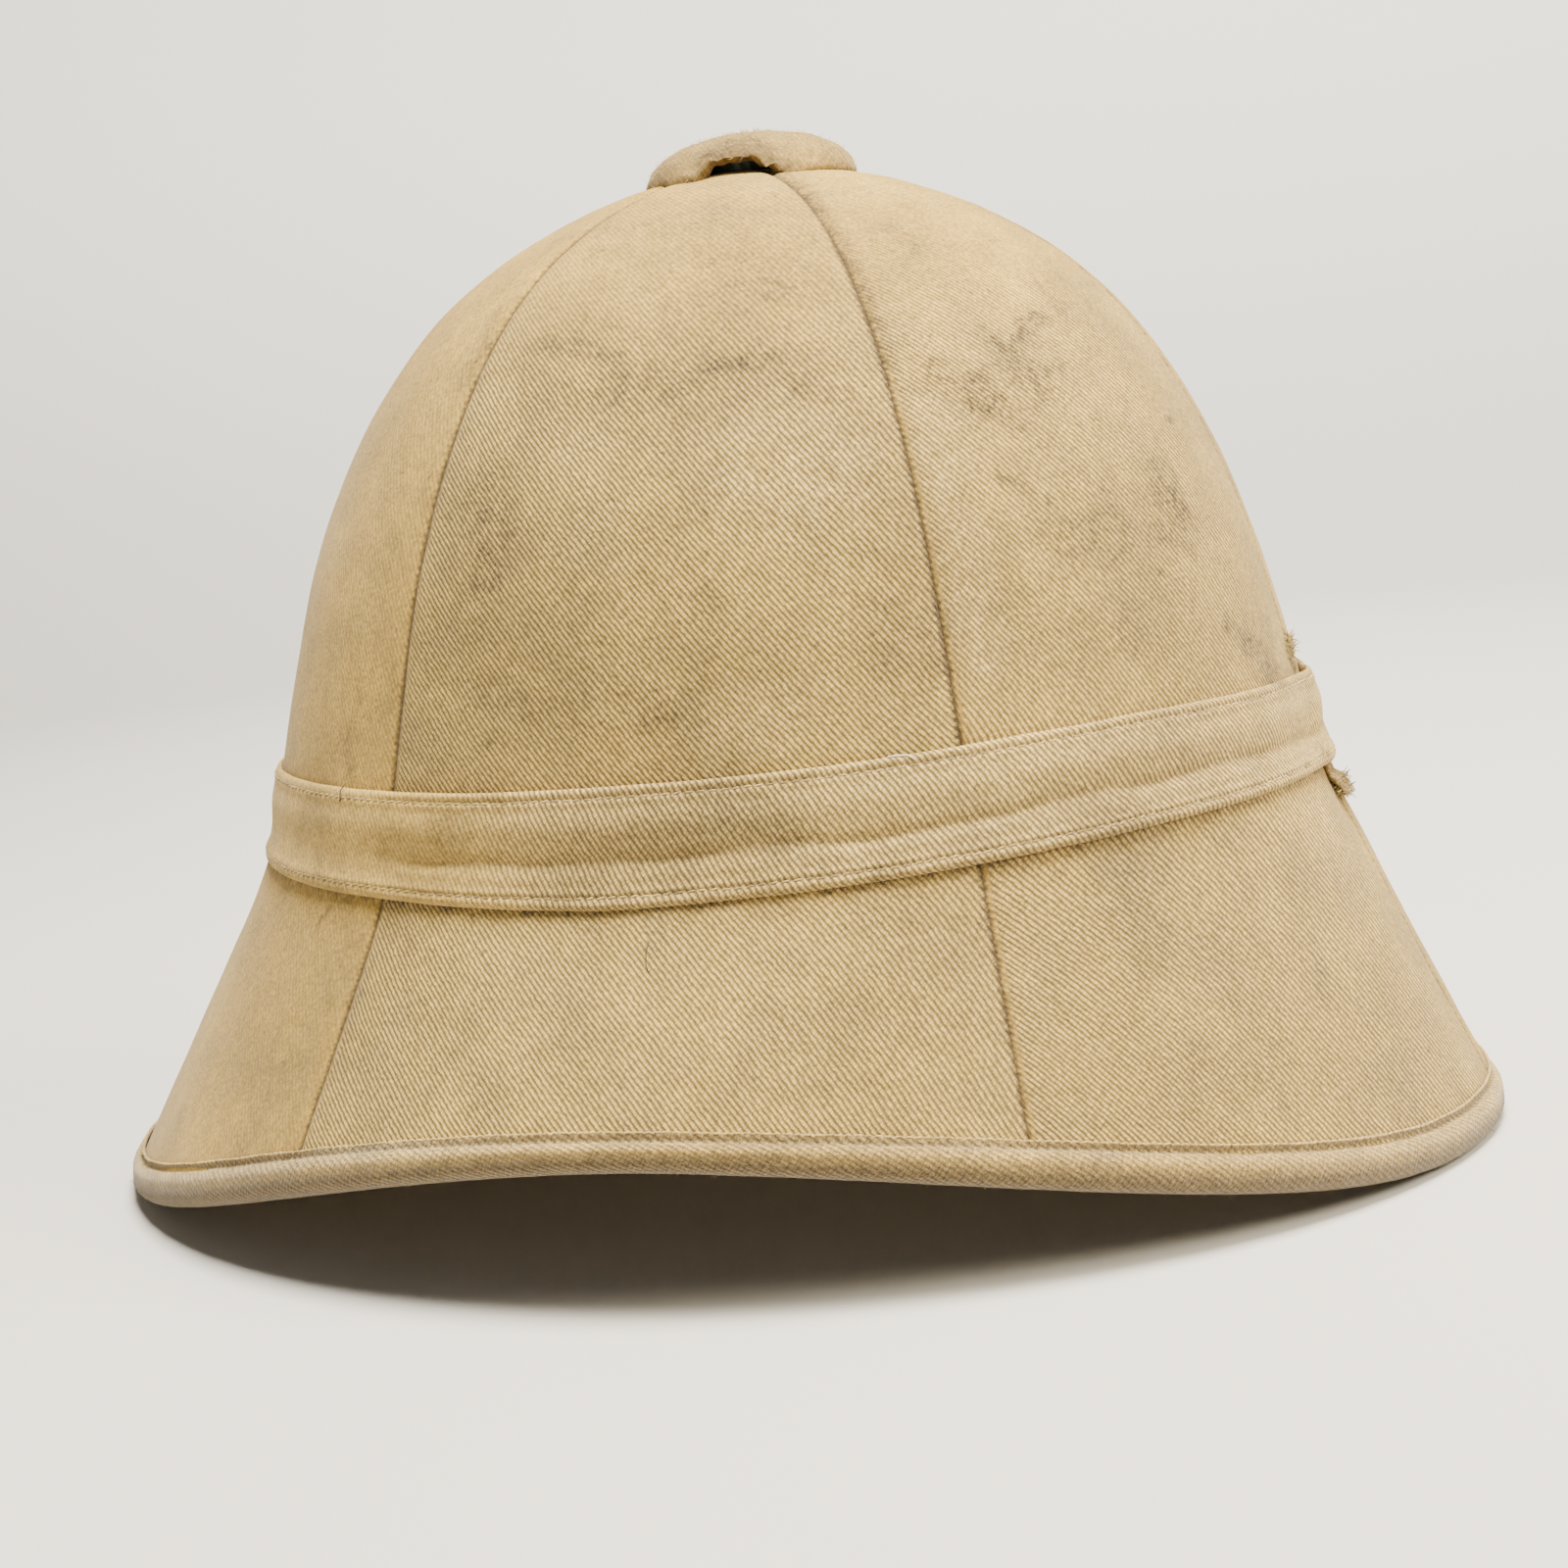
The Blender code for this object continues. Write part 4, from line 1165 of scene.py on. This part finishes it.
def narrow(piece, rings):
    """Slides the top edge of the outer leg down the leg, most at the near side."""
    for ring in rings:
        place = [piece.data.vertices[v].co.copy() for v in ring]
        reach = [0.0]
        for before, after in zip(place, place[1:]):
            reach.append(reach[-1] + (after - before).length)
        near = math.remainder(polar(place[1]) + 1.58, 2 * math.pi) / 0.50
        slide = 0.0009 + 0.0031 * math.exp(-near * near)
        moved = {}
        for j, d in enumerate(reach):
            if 0 < j and d < LEG - 0.0001:
                ahead = d + slide * (1.0 if d <= HEM + 0.0002 else (LEG - d) / (LEG - HEM))
                k = max(i for i in range(len(reach) - 1) if reach[i] <= ahead)
                share = (ahead - reach[k]) / (reach[k + 1] - reach[k])
                moved[j] = place[k].lerp(place[k + 1], share)
        shift = moved[1] - place[1]
        for j in (0, len(ring) - 1):
            moved[j] = place[j] + shift
        for j, spot in moved.items():
            piece.data.vertices[ring[j]].co = spot
    for vertex in piece.data.vertices:
        vertex.co.z -= sag(vertex.co)


narrow(binding, binding_rings)
binding_around, binding_down = lay_ring_out(binding, binding_rings)
binding_cage = np.array([v.co for v in binding.data.vertices])[np.array(binding_rings)]
print("binding section in mm:", [round(float(d) * 1000, 1) for d in binding_down])
refine(binding, 3)
flat = vertex_layout(binding)
run, drop = flat[:, 0], -flat[:, 1]
outer_leg = (drop > 0.0001) & (drop < 0.012)
relief = -0.00050 * bell(drop, BINDING_GROOVE - 0.0006, 0.00075)
relief += 0.00020 * bell(drop, 0.0003, 0.0004)
relief += 0.00045 * bell(drop, 0.0046, 0.0015)
relief += 0.00010 * waves(run + 0.8 * drop, binding_around, 11, (0.019, 0.012, 0.0075))
push(binding, relief * outer_leg)
apply_modifier(binding, "DISPLACE", texture=crumple, texture_coords="LOCAL", strength=0.00022)
only(binding)
bpy.ops.object.shade_smooth()
paint_soil(binding)
print("binding faces", len(binding.data.polygons), "around", round(binding_around, 4))

# %% [markdown]
# The tape is soft and worn: its coarse ribs lean over so far that they look like a loose
# plait, and a net of fine fibres lies over them. The flat hem above the groove is painted
# darker as painted shade, and the underside of the roll is painted dark as painted shade.

# %% Finish the binding
TAPE_PITCH = 0.00120


def tape_material(name, pale, warm):
    material, tree, shader = start_material(name)
    place = add_node(tree, "TexCoord").outputs["Object"]
    lay = add_node(tree, "UVMap", uv_map="cloth").outputs[0]
    split = add_node(tree, "SeparateXYZ", {0: lay}).outputs
    paint = add_node(tree, "Attribute", attribute_name="soil").outputs["Color"]
    soil = add_node(tree, "SeparateColor", {0: paint}).outputs
    masks = use_group(tree, age, Place=place)
    weave = use_group(tree, twill, Cloth=lay, Slant=math.radians(34), Pitch=TAPE_PITCH)
    crossing = use_group(tree, twill, Cloth=lay, Slant=math.radians(118), Pitch=TAPE_PITCH * 0.8)
    leaning = calc(tree, "MULTIPLY", weave["Height"], 0.75)
    height = calc(tree, "MULTIPLY_ADD", crossing["Height"], 0.35, leaning)
    valley = calc(tree, "SUBTRACT", 1.0, height, clamp=True)
    colour = blend(tree, masks["Clouds"], pale, warm)
    colour = blend(tree, calc(tree, "MULTIPLY", masks["Blotches"], 0.4), colour, OLD_DRILL)
    wander = ramp(tree, grain(tree, place, 260.0, 5.0, 0.7), 0.38, 0.63, 0.2, 1.6)
    colour = blend(tree, calc(tree, "MULTIPLY", soil[0], wander, clamp=True), colour, BROWN_STAIN_AND_SHADE)
    colour = blend(tree, calc(tree, "MULTIPLY", soil[1], wander, clamp=True), colour, GREY_SOIL)
    down = calc(tree, "MULTIPLY", split[1], -1.0)
    unsteady = calc(tree, "MULTIPLY_ADD", wander, 0.00035, down)
    # Painted shade on the flat hem, which tilts away from the light.
    hem = ramp(tree, unsteady, 0.0024, 0.0031, 1.0, 0.0)
    hem = calc(tree, "MULTIPLY", ramp(tree, unsteady, 0.0006, 0.0010), hem)
    colour = blend(tree, calc(tree, "MULTIPLY", hem, 0.52), colour, (0.165, 0.128, 0.075, 1))
    # Painted shade on the underside of the roll, darker towards its lower edge.
    under = ramp(tree, unsteady, 0.0050, 0.0082, 0.0, 0.80)
    colour = blend(tree, under, colour, (0.105, 0.075, 0.040, 1))
    # Painted shade between the tape's ribs and painted light on their tops.
    shade = blend(tree, valley, (1.14, 1.12, 1.02, 1), (0.58, 0.54, 0.46, 1))
    colour = blend(tree, 1.0, colour, shade, "MULTIPLY")
    fluff = ramp(tree, grain(tree, place, 1250.0, 4.0, 0.7), 0.36, 0.66, 0.60, 1.28)
    colour = dim(tree, colour, fluff)
    tree.links.new(colour, shader.inputs["Base Color"])
    fuzz = grain(tree, place, 2600.0, 3.0)
    fuzz_depth = calc(tree, "MULTIPLY", fuzz, 0.00012)
    set_bump(tree, shader, calc(tree, "MULTIPLY_ADD", height, 0.00026, fuzz_depth))
    shader.inputs["Roughness"].default_value = 0.92
    shader.inputs["Specular IOR Level"].default_value = 0.2
    shader.inputs["Sheen Weight"].default_value = 0.25
    shader.inputs["Sheen Roughness"].default_value = 0.5
    return material


tape = tape_material("tape", (0.500, 0.350, 0.118, 1), (0.385, 0.262, 0.084, 1))
binding.data.materials.append(tape)
binding_surface = surface_of(binding)
tooth = model_stitch(0.0017, 0.00022)
line = closed_line(line_at(binding_cage, binding_down, 0.00020), 0.00190)
teeth = set_stitches("tape_teeth", binding_surface, line, tooth, lean=0.12, rise=0.00002, seed=5)
teeth.data.materials.append(tape)
line = closed_line(line_at(binding_cage, binding_down, BINDING_GROOVE), 0.0028)
short_stitch = model_stitch(0.0019, 0.00016)
tape_stitches = set_stitches("tape_stitches", binding_surface, line, short_stitch, seed=6, rise=-0.00002)
tape_stitches.data.materials.append(pale_thread)
print("teeth", len(teeth.data.polygons) // len(tooth[1]), "tape stitches", len(line))

# %% [markdown]
# The ventilator's cap is a small padded dome under the same drill, worn fuzzy and torn
# open on one side. Its copy is refined; noise roughens the lips of the tear, and the
# cloth round the tear is painted brown. Its foot is painted dark as painted shade.

# %% Model the cap
CAP_MIDDLE = Vector((0.00925, 0, 0.2235))
TEAR_BEARING = math.radians(-84)

def refine_quads(piece):
    """Joins triangles into four-sided faces before the piece is refined."""
    pick(piece, "FACE", lambda face: True)
    bpy.ops.mesh.tris_convert_to_quads(face_threshold=1.2, shape_threshold=1.2)
    refine(done(piece), 3)


cap = copy_of("vent_cap", "cap")
refine_quads(cap)
TEAR_STROKES = {
    "brown": (
        (6, -24, 220, 8, -20, 230.5, 3.6, 0.52), (8, -20, 230.5, 15, -20, 230.5, 4.2, 0.52),
        (15, -20, 230.5, 19.5, -22, 223.5, 5, 0.54), (-12, -10, 221, 2, -23.5, 220.5, 2.8, 0.22),
        (22, -21, 220.5, 33, -4, 221, 2.6, 0.26),
    ),
}
paint_soil(cap, TEAR_STROKES)
CAP_FOOT = 0.2209
# Painted shade: a narrow ring round the foot of the cap is painted dark brown.
rim = cap.data.color_attributes["soil"]
for vertex in cap.data.vertices:
    if vertex.co.z < CAP_FOOT + 0.0012:
        rim.data[vertex.index].color[0] = max(rim.data[vertex.index].color[0], 0.92)
CAP_SLID = Vector((0.0036, 0.0010, -0.0022))
for vertex in cap.data.vertices:
    place = vertex.co - CAP_MIDDLE
    rise = vertex.co.z - CAP_FOOT
    beside = abs(math.remainder(math.atan2(place.y, place.x) - TEAR_BEARING, 2 * math.pi))
    closing = min(max((0.85 - beside) / 0.30, 0), 1) * min(max((0.0135 - rise) / 0.0050, 0), 1)
    if rise > 0:
        rise += closing * (max(0.86 * rise - 0.0005, 0.0) - rise)
        lips = min(max((0.60 - beside) / 0.25, 0), 1) * min(max((0.0085 - rise) / 0.0030, 0), 1)
        rise = max(rise + lips * 0.0024 * noise.noise(vertex.co * 340), 0.0)
    vertex.co.z = CAP_FOOT + rise * 0.84
    vertex.co += CAP_SLID
apply_modifier(cap, "DISPLACE", texture=crumple, texture_coords="LOCAL", strength=0.0009)
bpy.ops.object.shade_smooth()
layer = cap.data.uv_layers.new(name="cloth")
for loop in cap.data.loops:
    point = cap.data.vertices[loop.vertex_index].co - CAP_MIDDLE
    layer.data[loop.index].uv = (point.x, point.z + 0.6 * point.y)
paint_nap(cap, 0.5, 0.5)
CAP_PALE, CAP_WARM = (0.365, 0.260, 0.100, 1), (0.215, 0.152, 0.066, 1)
cap_cloth = cloth_material("cap_drill", CAP_PALE, CAP_WARM, rib_depth=0.0001)
cap.data.materials.append(cap_cloth)
print("cap faces", len(cap.data.polygons))

# %% [markdown]
# The ventilator's metal neck stands between the cloth and the cap. Its copy is pressed a
# little lower, as the cap over it is, and gets a painted metal finish, greyed and rubbed,
# with the bare alloy showing through in spots.

# %% Finish the neck
def neck_material():
    material, tree, shader = start_material("vent_metal")
    place = add_node(tree, "TexCoord").outputs["Object"]
    patches = ramp(tree, grain(tree, place, 210.0, 5.0, 0.65), 0.42, 0.60)
    fine = grain(tree, place, 1400.0, 3.0)
    colour = blend(tree, patches, (0.105, 0.120, 0.095, 1), (0.235, 0.250, 0.215, 1))
    colour = blend(tree, calc(tree, "MULTIPLY", fine, 0.35), colour, (0.05, 0.05, 0.04, 1))
    tree.links.new(colour, shader.inputs["Base Color"])
    tree.links.new(calc(tree, "MULTIPLY_ADD", patches, -0.25, 0.68), shader.inputs["Roughness"])
    tree.links.new(calc(tree, "MULTIPLY_ADD", patches, 0.5, 0.3), shader.inputs["Metallic"])
    bump = add_node(tree, "Bump", {"Strength": 0.4, "Distance": 0.0002, "Height": fine})
    tree.links.new(bump.outputs[0], shader.inputs["Normal"])
    return material


neck = copy_of("vent_neck", "neck")
for vertex in neck.data.vertices:
    vertex.co.z = 0.213 + (vertex.co.z - 0.213) * 0.74
neck.data.materials.append(neck_material())

# %% [markdown]
# Inside, the moulded pith is bare. Pith is a pale plant stem, cut in sheets and pressed
# to shape: it looks like dry bread crust, with fine pores and faint long fibres.

# %% Finish the pith
def pith_material():
    material, tree, shader = start_material("pith")
    place = add_node(tree, "TexCoord").outputs["Object"]
    stretched = add_node(tree, "Mapping", {"Vector": place, "Scale": (1.0, 1.0, 5.0)}).outputs[0]
    fibres = grain(tree, stretched, 90.0, 5.0, 0.6)
    pores = grain(tree, place, 900.0, 3.0)
    masks = use_group(tree, age, Place=place)
    colour = blend(tree, masks["Clouds"], (0.565, 0.470, 0.330, 1), (0.455, 0.355, 0.225, 1))
    colour = blend(tree, ramp(tree, fibres, 0.42, 0.62, 0.0, 0.45), colour, (0.340, 0.250, 0.150, 1))
    colour = blend(tree, ramp(tree, pores, 0.60, 0.72, 0.0, 0.55), colour, (0.200, 0.140, 0.080, 1))
    up = add_node(tree, "SeparateXYZ", {0: place}).outputs[2]
    colour = blend(tree, ramp(tree, up, 0.196, 0.206, 0.0, 0.9), colour, DEEP_BROWN)
    tree.links.new(colour, shader.inputs["Base Color"])
    fibre_depth = calc(tree, "MULTIPLY", fibres, 0.00025)
    set_bump(tree, shader, calc(tree, "MULTIPLY_ADD", pores, -0.00016, fibre_depth))
    shader.inputs["Roughness"].default_value = 0.93
    shader.inputs["Specular IOR Level"].default_value = 0.18
    return material


shell = bpy.data.objects["pith_shell"]
shell.data.materials.clear()
shell.data.materials.append(pith_material())

# %% [markdown]
# Loose threads are thin tubes. Each follows a short list of points, and a helper sweeps
# a small ring of vertices along them, which is what a bevelled curve does when it is
# made a mesh, but keeps hundreds of threads in one piece.

# %% Sweep threads along paths


def sweep_threads(name, paths, radius, sides=5):
    points, faces = [], []
    for path in paths:
        base = len(points)
        for number, point in enumerate(path):
            before, after = path[max(number - 1, 0)], path[min(number + 1, len(path) - 1)]
            forward = (after - before).normalized()
            side = forward.cross(Vector((0.31, 0.52, 0.79))).normalized()
            lift = forward.cross(side)
            thin = 1.0 if number < len(path) - 1 else 0.45
            for corner in range(sides):
                turn = 2 * math.pi * corner / sides
                points.append(point + (side * math.cos(turn) + lift * math.sin(turn)) * radius * thin)
        for ring in range(len(path) - 1):
            for corner in range(sides):
                a = base + ring * sides + corner
                b = base + ring * sides + (corner + 1) % sides
                faces.append((a, a + sides, b + sides, b))
        faces.append(tuple(base + corner for corner in range(sides)))
        last = base + (len(path) - 1) * sides
        faces.append(tuple(last + corner for corner in reversed(range(sides))))
    return made_of(name, points, faces)


# %% [markdown]
# A strip of cloth once crossed the band at the front seam. Its two raw ends are left,
# matted and olive with dirt. The refined solid is the matted core, and short threads
# stand out of both ends of it.

# %% Model the frayed strip
strip = copy_of("frayed_strip", "strip_core")
refine_quads(strip)
place_z = np.array([v.co.z for v in strip.data.vertices])
at_ends = np.clip((place_z - 0.1040) / 0.003, 0, 1) + np.clip((0.0815 - place_z) / 0.003, 0, 1)
push(strip, at_ends * 0.00065)
for vertex in strip.data.vertices:
    place = vertex.co
    if place.z > 0.1040:
        over, shorter = place.x - (0.1258 - (place.z - 0.1040) * 0.30), 0.1040 + (place.z - 0.1040) * 0.68
        place.x, place.z = 0.1258 - (shorter - 0.1040) * 0.30 + over * 0.60, shorter
    elif place.z < 0.0815:
        over, shorter = place.x - (0.1308 + (0.0815 - place.z) * 0.51), 0.0815 - (0.0815 - place.z) * 0.85
        place.x, place.z = 0.1308 + (0.0815 - shorter) * 0.51 + over * 0.52, shorter
for vertex in strip.data.vertices:
    upper = vertex.co.z > 0.093
    vertex.co += Vector((-0.0015, 0, -0.0010)) if upper else Vector((0.0008, 0, -0.0022))
apply_modifier(strip, "DISPLACE", texture=crumple, texture_coords="LOCAL", strength=0.0018)
bpy.ops.object.shade_smooth()
layer = strip.data.uv_layers.new(name="cloth")
for loop in strip.data.loops:
    point = strip.data.vertices[loop.vertex_index].co
    layer.data[loop.index].uv = (point.y, point.z)
paint_soil(strip)
paint_nap(strip, 0.5, 0.5)
rng = random.Random(21)
front = surface_of(strip)
paths = []
ENDS = ((Vector((0.1243, 0, 0.1068)), 1), (Vector((0.1348, 0, 0.0756)), -1))
for middle, sign in ENDS:
    for _ in range(170):
        start = middle + Vector([rng.uniform(-reach, reach) for reach in (0.002, 0.0058, 0.0024)])
        place, out, _, _ = front.find_nearest(start)
        way = out * rng.uniform(0.0, 0.7)
        way = (way + Vector((0, rng.uniform(-0.9, 0.9), sign * rng.uniform(-0.3, 1.0)))).normalized()
        bend = Vector((rng.uniform(-1, 1), rng.uniform(-1, 1), rng.uniform(-1, 1))) * 0.0011
        long = rng.uniform(0.0006, 0.0019)
        paths.append([place + way * (long * t) + bend * (t * t) for t in (0, 0.35, 0.7, 1.0)])
strip_threads = sweep_threads("strip_threads", paths, 0.00012)
OLIVE, DULL = (0.400, 0.290, 0.110, 1), (0.200, 0.140, 0.055, 1)
strip_cloth = cloth_material("strip_cloth", (0.300, 0.215, 0.092, 1), (0.190, 0.132, 0.055, 1))
strip.data.materials.append(strip_cloth)
strip_threads.data.materials.append(thread_material("olive_thread", OLIVE, DULL))
print("strip threads", len(paths), "faces", len(strip_threads.data.polygons))

# %% [markdown]
# Worn cotton sheds a haze of fibres, which shows wherever the cloth turns away. Short
# curved hairs are planted by the hundred on the cap and along the underside of the tape.

# %% Plant the haze of fibres


def plant(name, piece, wanted, count, length, radius, seed):
    """Plants short hairs on randomly chosen faces for which wanted is true."""
    rng = random.Random(seed)
    mesh = piece.data
    ground = [face for face in mesh.polygons if wanted(face)]
    hairs = []
    for _ in range(count):
        face = rng.choice(ground)
        corners = [mesh.vertices[v].co for v in face.vertices]
        shares = [rng.random() for _ in corners]
        root = sum((c * w for c, w in zip(corners, shares)), Vector()) / sum(shares)
        lean = Vector((rng.uniform(-1, 1), rng.uniform(-1, 1), rng.uniform(-1, 1)))
        way = (face.normal * rng.uniform(0.3, 1.0) + lean * 0.9).normalized()
        long = rng.uniform(0.4, 1.0) * length
        curl = Vector((rng.uniform(-1, 1), rng.uniform(-1, 1), rng.uniform(-1, 1))) * long * 0.5
        hair = [root + way * (long * t) + curl * (t * t) for t in (0, 0.4, 0.75, 1.0)]
        hairs.append([Vector((p.x, p.y, max(p.z, 0.0003))) for p in hair])
    made = sweep_threads(name, hairs, radius, sides=3)
    print(name, "hairs", count, "faces", len(made.data.polygons))
    return made


haze_thread = thread_material("haze_thread", (0.58, 0.43, 0.21, 1), (0.40, 0.28, 0.12, 1))
cap_haze = plant("cap_haze", cap, lambda face: face.normal.z > -0.2, 1400, 0.0012, 0.000035, 31)
def under_tape(face):
    return face.normal.z < 0.15 and face.center.y < 0.02


tape_haze = plant("tape_haze", binding, under_tape, 1500, 0.0010, 0.000040, 32)
cap_haze.data.materials.append(haze_thread)
tape_haze.data.materials.append(thread_material("dark_haze", (0.34, 0.25, 0.13, 1), (0.17, 0.12, 0.06, 1)))

# %% [markdown]
# Three loose ends show where the helmet was handled: a white loop that has worked out
# of the band's upper stitching, a dark end of thread over the band's edge, and a hair
# that has settled on the brim.

# %% Loose threads
LOOSE = (
    {"name": "white_loop", "radius": 0.00016, "pale": (0.78, 0.74, 0.64, 1), "dark": (0.55, 0.50, 0.40, 1),
     "points": ((0.0552, -0.0916, 0.0996), (0.0560, -0.0925, 0.1006), (0.0576, -0.0922, 0.1013),
                (0.0594, -0.0917, 0.1008), (0.0603, -0.0918, 0.0997), (0.0611, -0.0916, 0.0990))},
    {"name": "dark_end", "radius": 0.00015, "pale": (0.10, 0.075, 0.045, 1), "dark": (0.05, 0.035, 0.02, 1),
     "points": ((-0.0677, -0.0812, 0.0962), (-0.0679, -0.0810, 0.0975), (-0.0677, -0.0802, 0.0990),
                (-0.0672, -0.0790, 0.0998), (-0.0667, -0.0782, 0.0996))},
    {"name": "settled_hair", "radius": 0.00011, "pale": (0.06, 0.045, 0.03, 1),
     "dark": (0.03, 0.02, 0.015, 1),
     "points": ((0.0083, -0.1073, 0.0688), (0.0079, -0.1086, 0.0668), (0.0081, -0.1099, 0.0648),
                (0.0088, -0.1108, 0.0634), (0.0093, -0.1104, 0.0640))},
)
cover_points, cover_faces = [], []
for piece in gores + [band]:
    base = len(cover_points)
    cover_points += [v.co for v in piece.data.vertices]
    cover_faces += [tuple(base + v for v in face.vertices) for face in piece.data.polygons]
cover = BVHTree.FromPolygons(cover_points, cover_faces)
loose_pieces = []
for row in LOOSE:
    path = []
    for point in row["points"]:
        place, out, _, _ = cover.find_nearest(Vector(point))
        path.append(place + out * row["radius"] * 1.5)
    made = sweep_threads(row["name"], [path], row["radius"], sides=8)
    made.data.materials.append(thread_material(row["name"], row["pale"], row["dark"]))
    loose_pieces.append(made)
    length = sum((b - a).length for a, b in zip(path, path[1:]))
    print(row["name"], "is", round(length * 1000, 1), "mm long")

# %% [markdown]
# Every piece is attached to the body it rides on, and the imported solid it stands for is
# hidden. Each gore also prints what it was cut from.


def area_of(piece):
    return sum(face.area for face in piece.data.polygons)


for number, gore in enumerate(gores, 1):
    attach(gore, "root")
    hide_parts(f"cover_gore_{number}")
    widest, length = gore_sizes[number - 1]
    sides = round(widest, 3), round(length, 3)
    print(gore.name, "cut from", sides, "m, area", round(area_of(gore), 4))
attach(band, "root")
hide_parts("hat_band")
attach(binding, "root")
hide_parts("brim_binding")
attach(neck, "root")
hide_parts("vent_neck")
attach(cap, "root")
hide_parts("vent_cap")
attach(strip, "root")
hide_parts("frayed_strip")
for piece in band_stitches + [tape_stitches, teeth, strip_threads, cap_haze, tape_haze] + loose_pieces:
    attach(piece, "root")

# %% [markdown]
# The sweep gets its paint last. It is stage, not object, so it only has to be pale,
# matt and even, with a trace of noise so that it doesn't look like a blank.

# %% Paint the sweep
material, tree, shader = start_material("pale_paper")
place = add_node(tree, "TexCoord").outputs["Object"]
rise = add_node(tree, "SeparateXYZ", {0: place}).outputs[2]
tone = ramp(tree, calc(tree, "MULTIPLY_ADD", grain(tree, place, 2.0, 2.0), 0.06, rise), -0.05, 0.65)
paper = blend(tree, tone, (0.510, 0.492, 0.460, 1), (0.700, 0.680, 0.640, 1))
tree.links.new(paper, shader.inputs["Base Color"])
shader.inputs["Roughness"].default_value = 0.95
sweep.data.materials.append(material)

# %% Measure both boxes and print how much they grew
bpy.context.view_layer.update()
VISUAL_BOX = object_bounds()
boxes = {"cad": [list(corner) for corner in CAD_BOX], "visual": [list(corner) for corner in VISUAL_BOX]}
grown = [[round((b - a) * 1000, 2) for a, b in zip(*pair)] for pair in zip(*boxes.values())]
print("grown by, in mm:", grown)
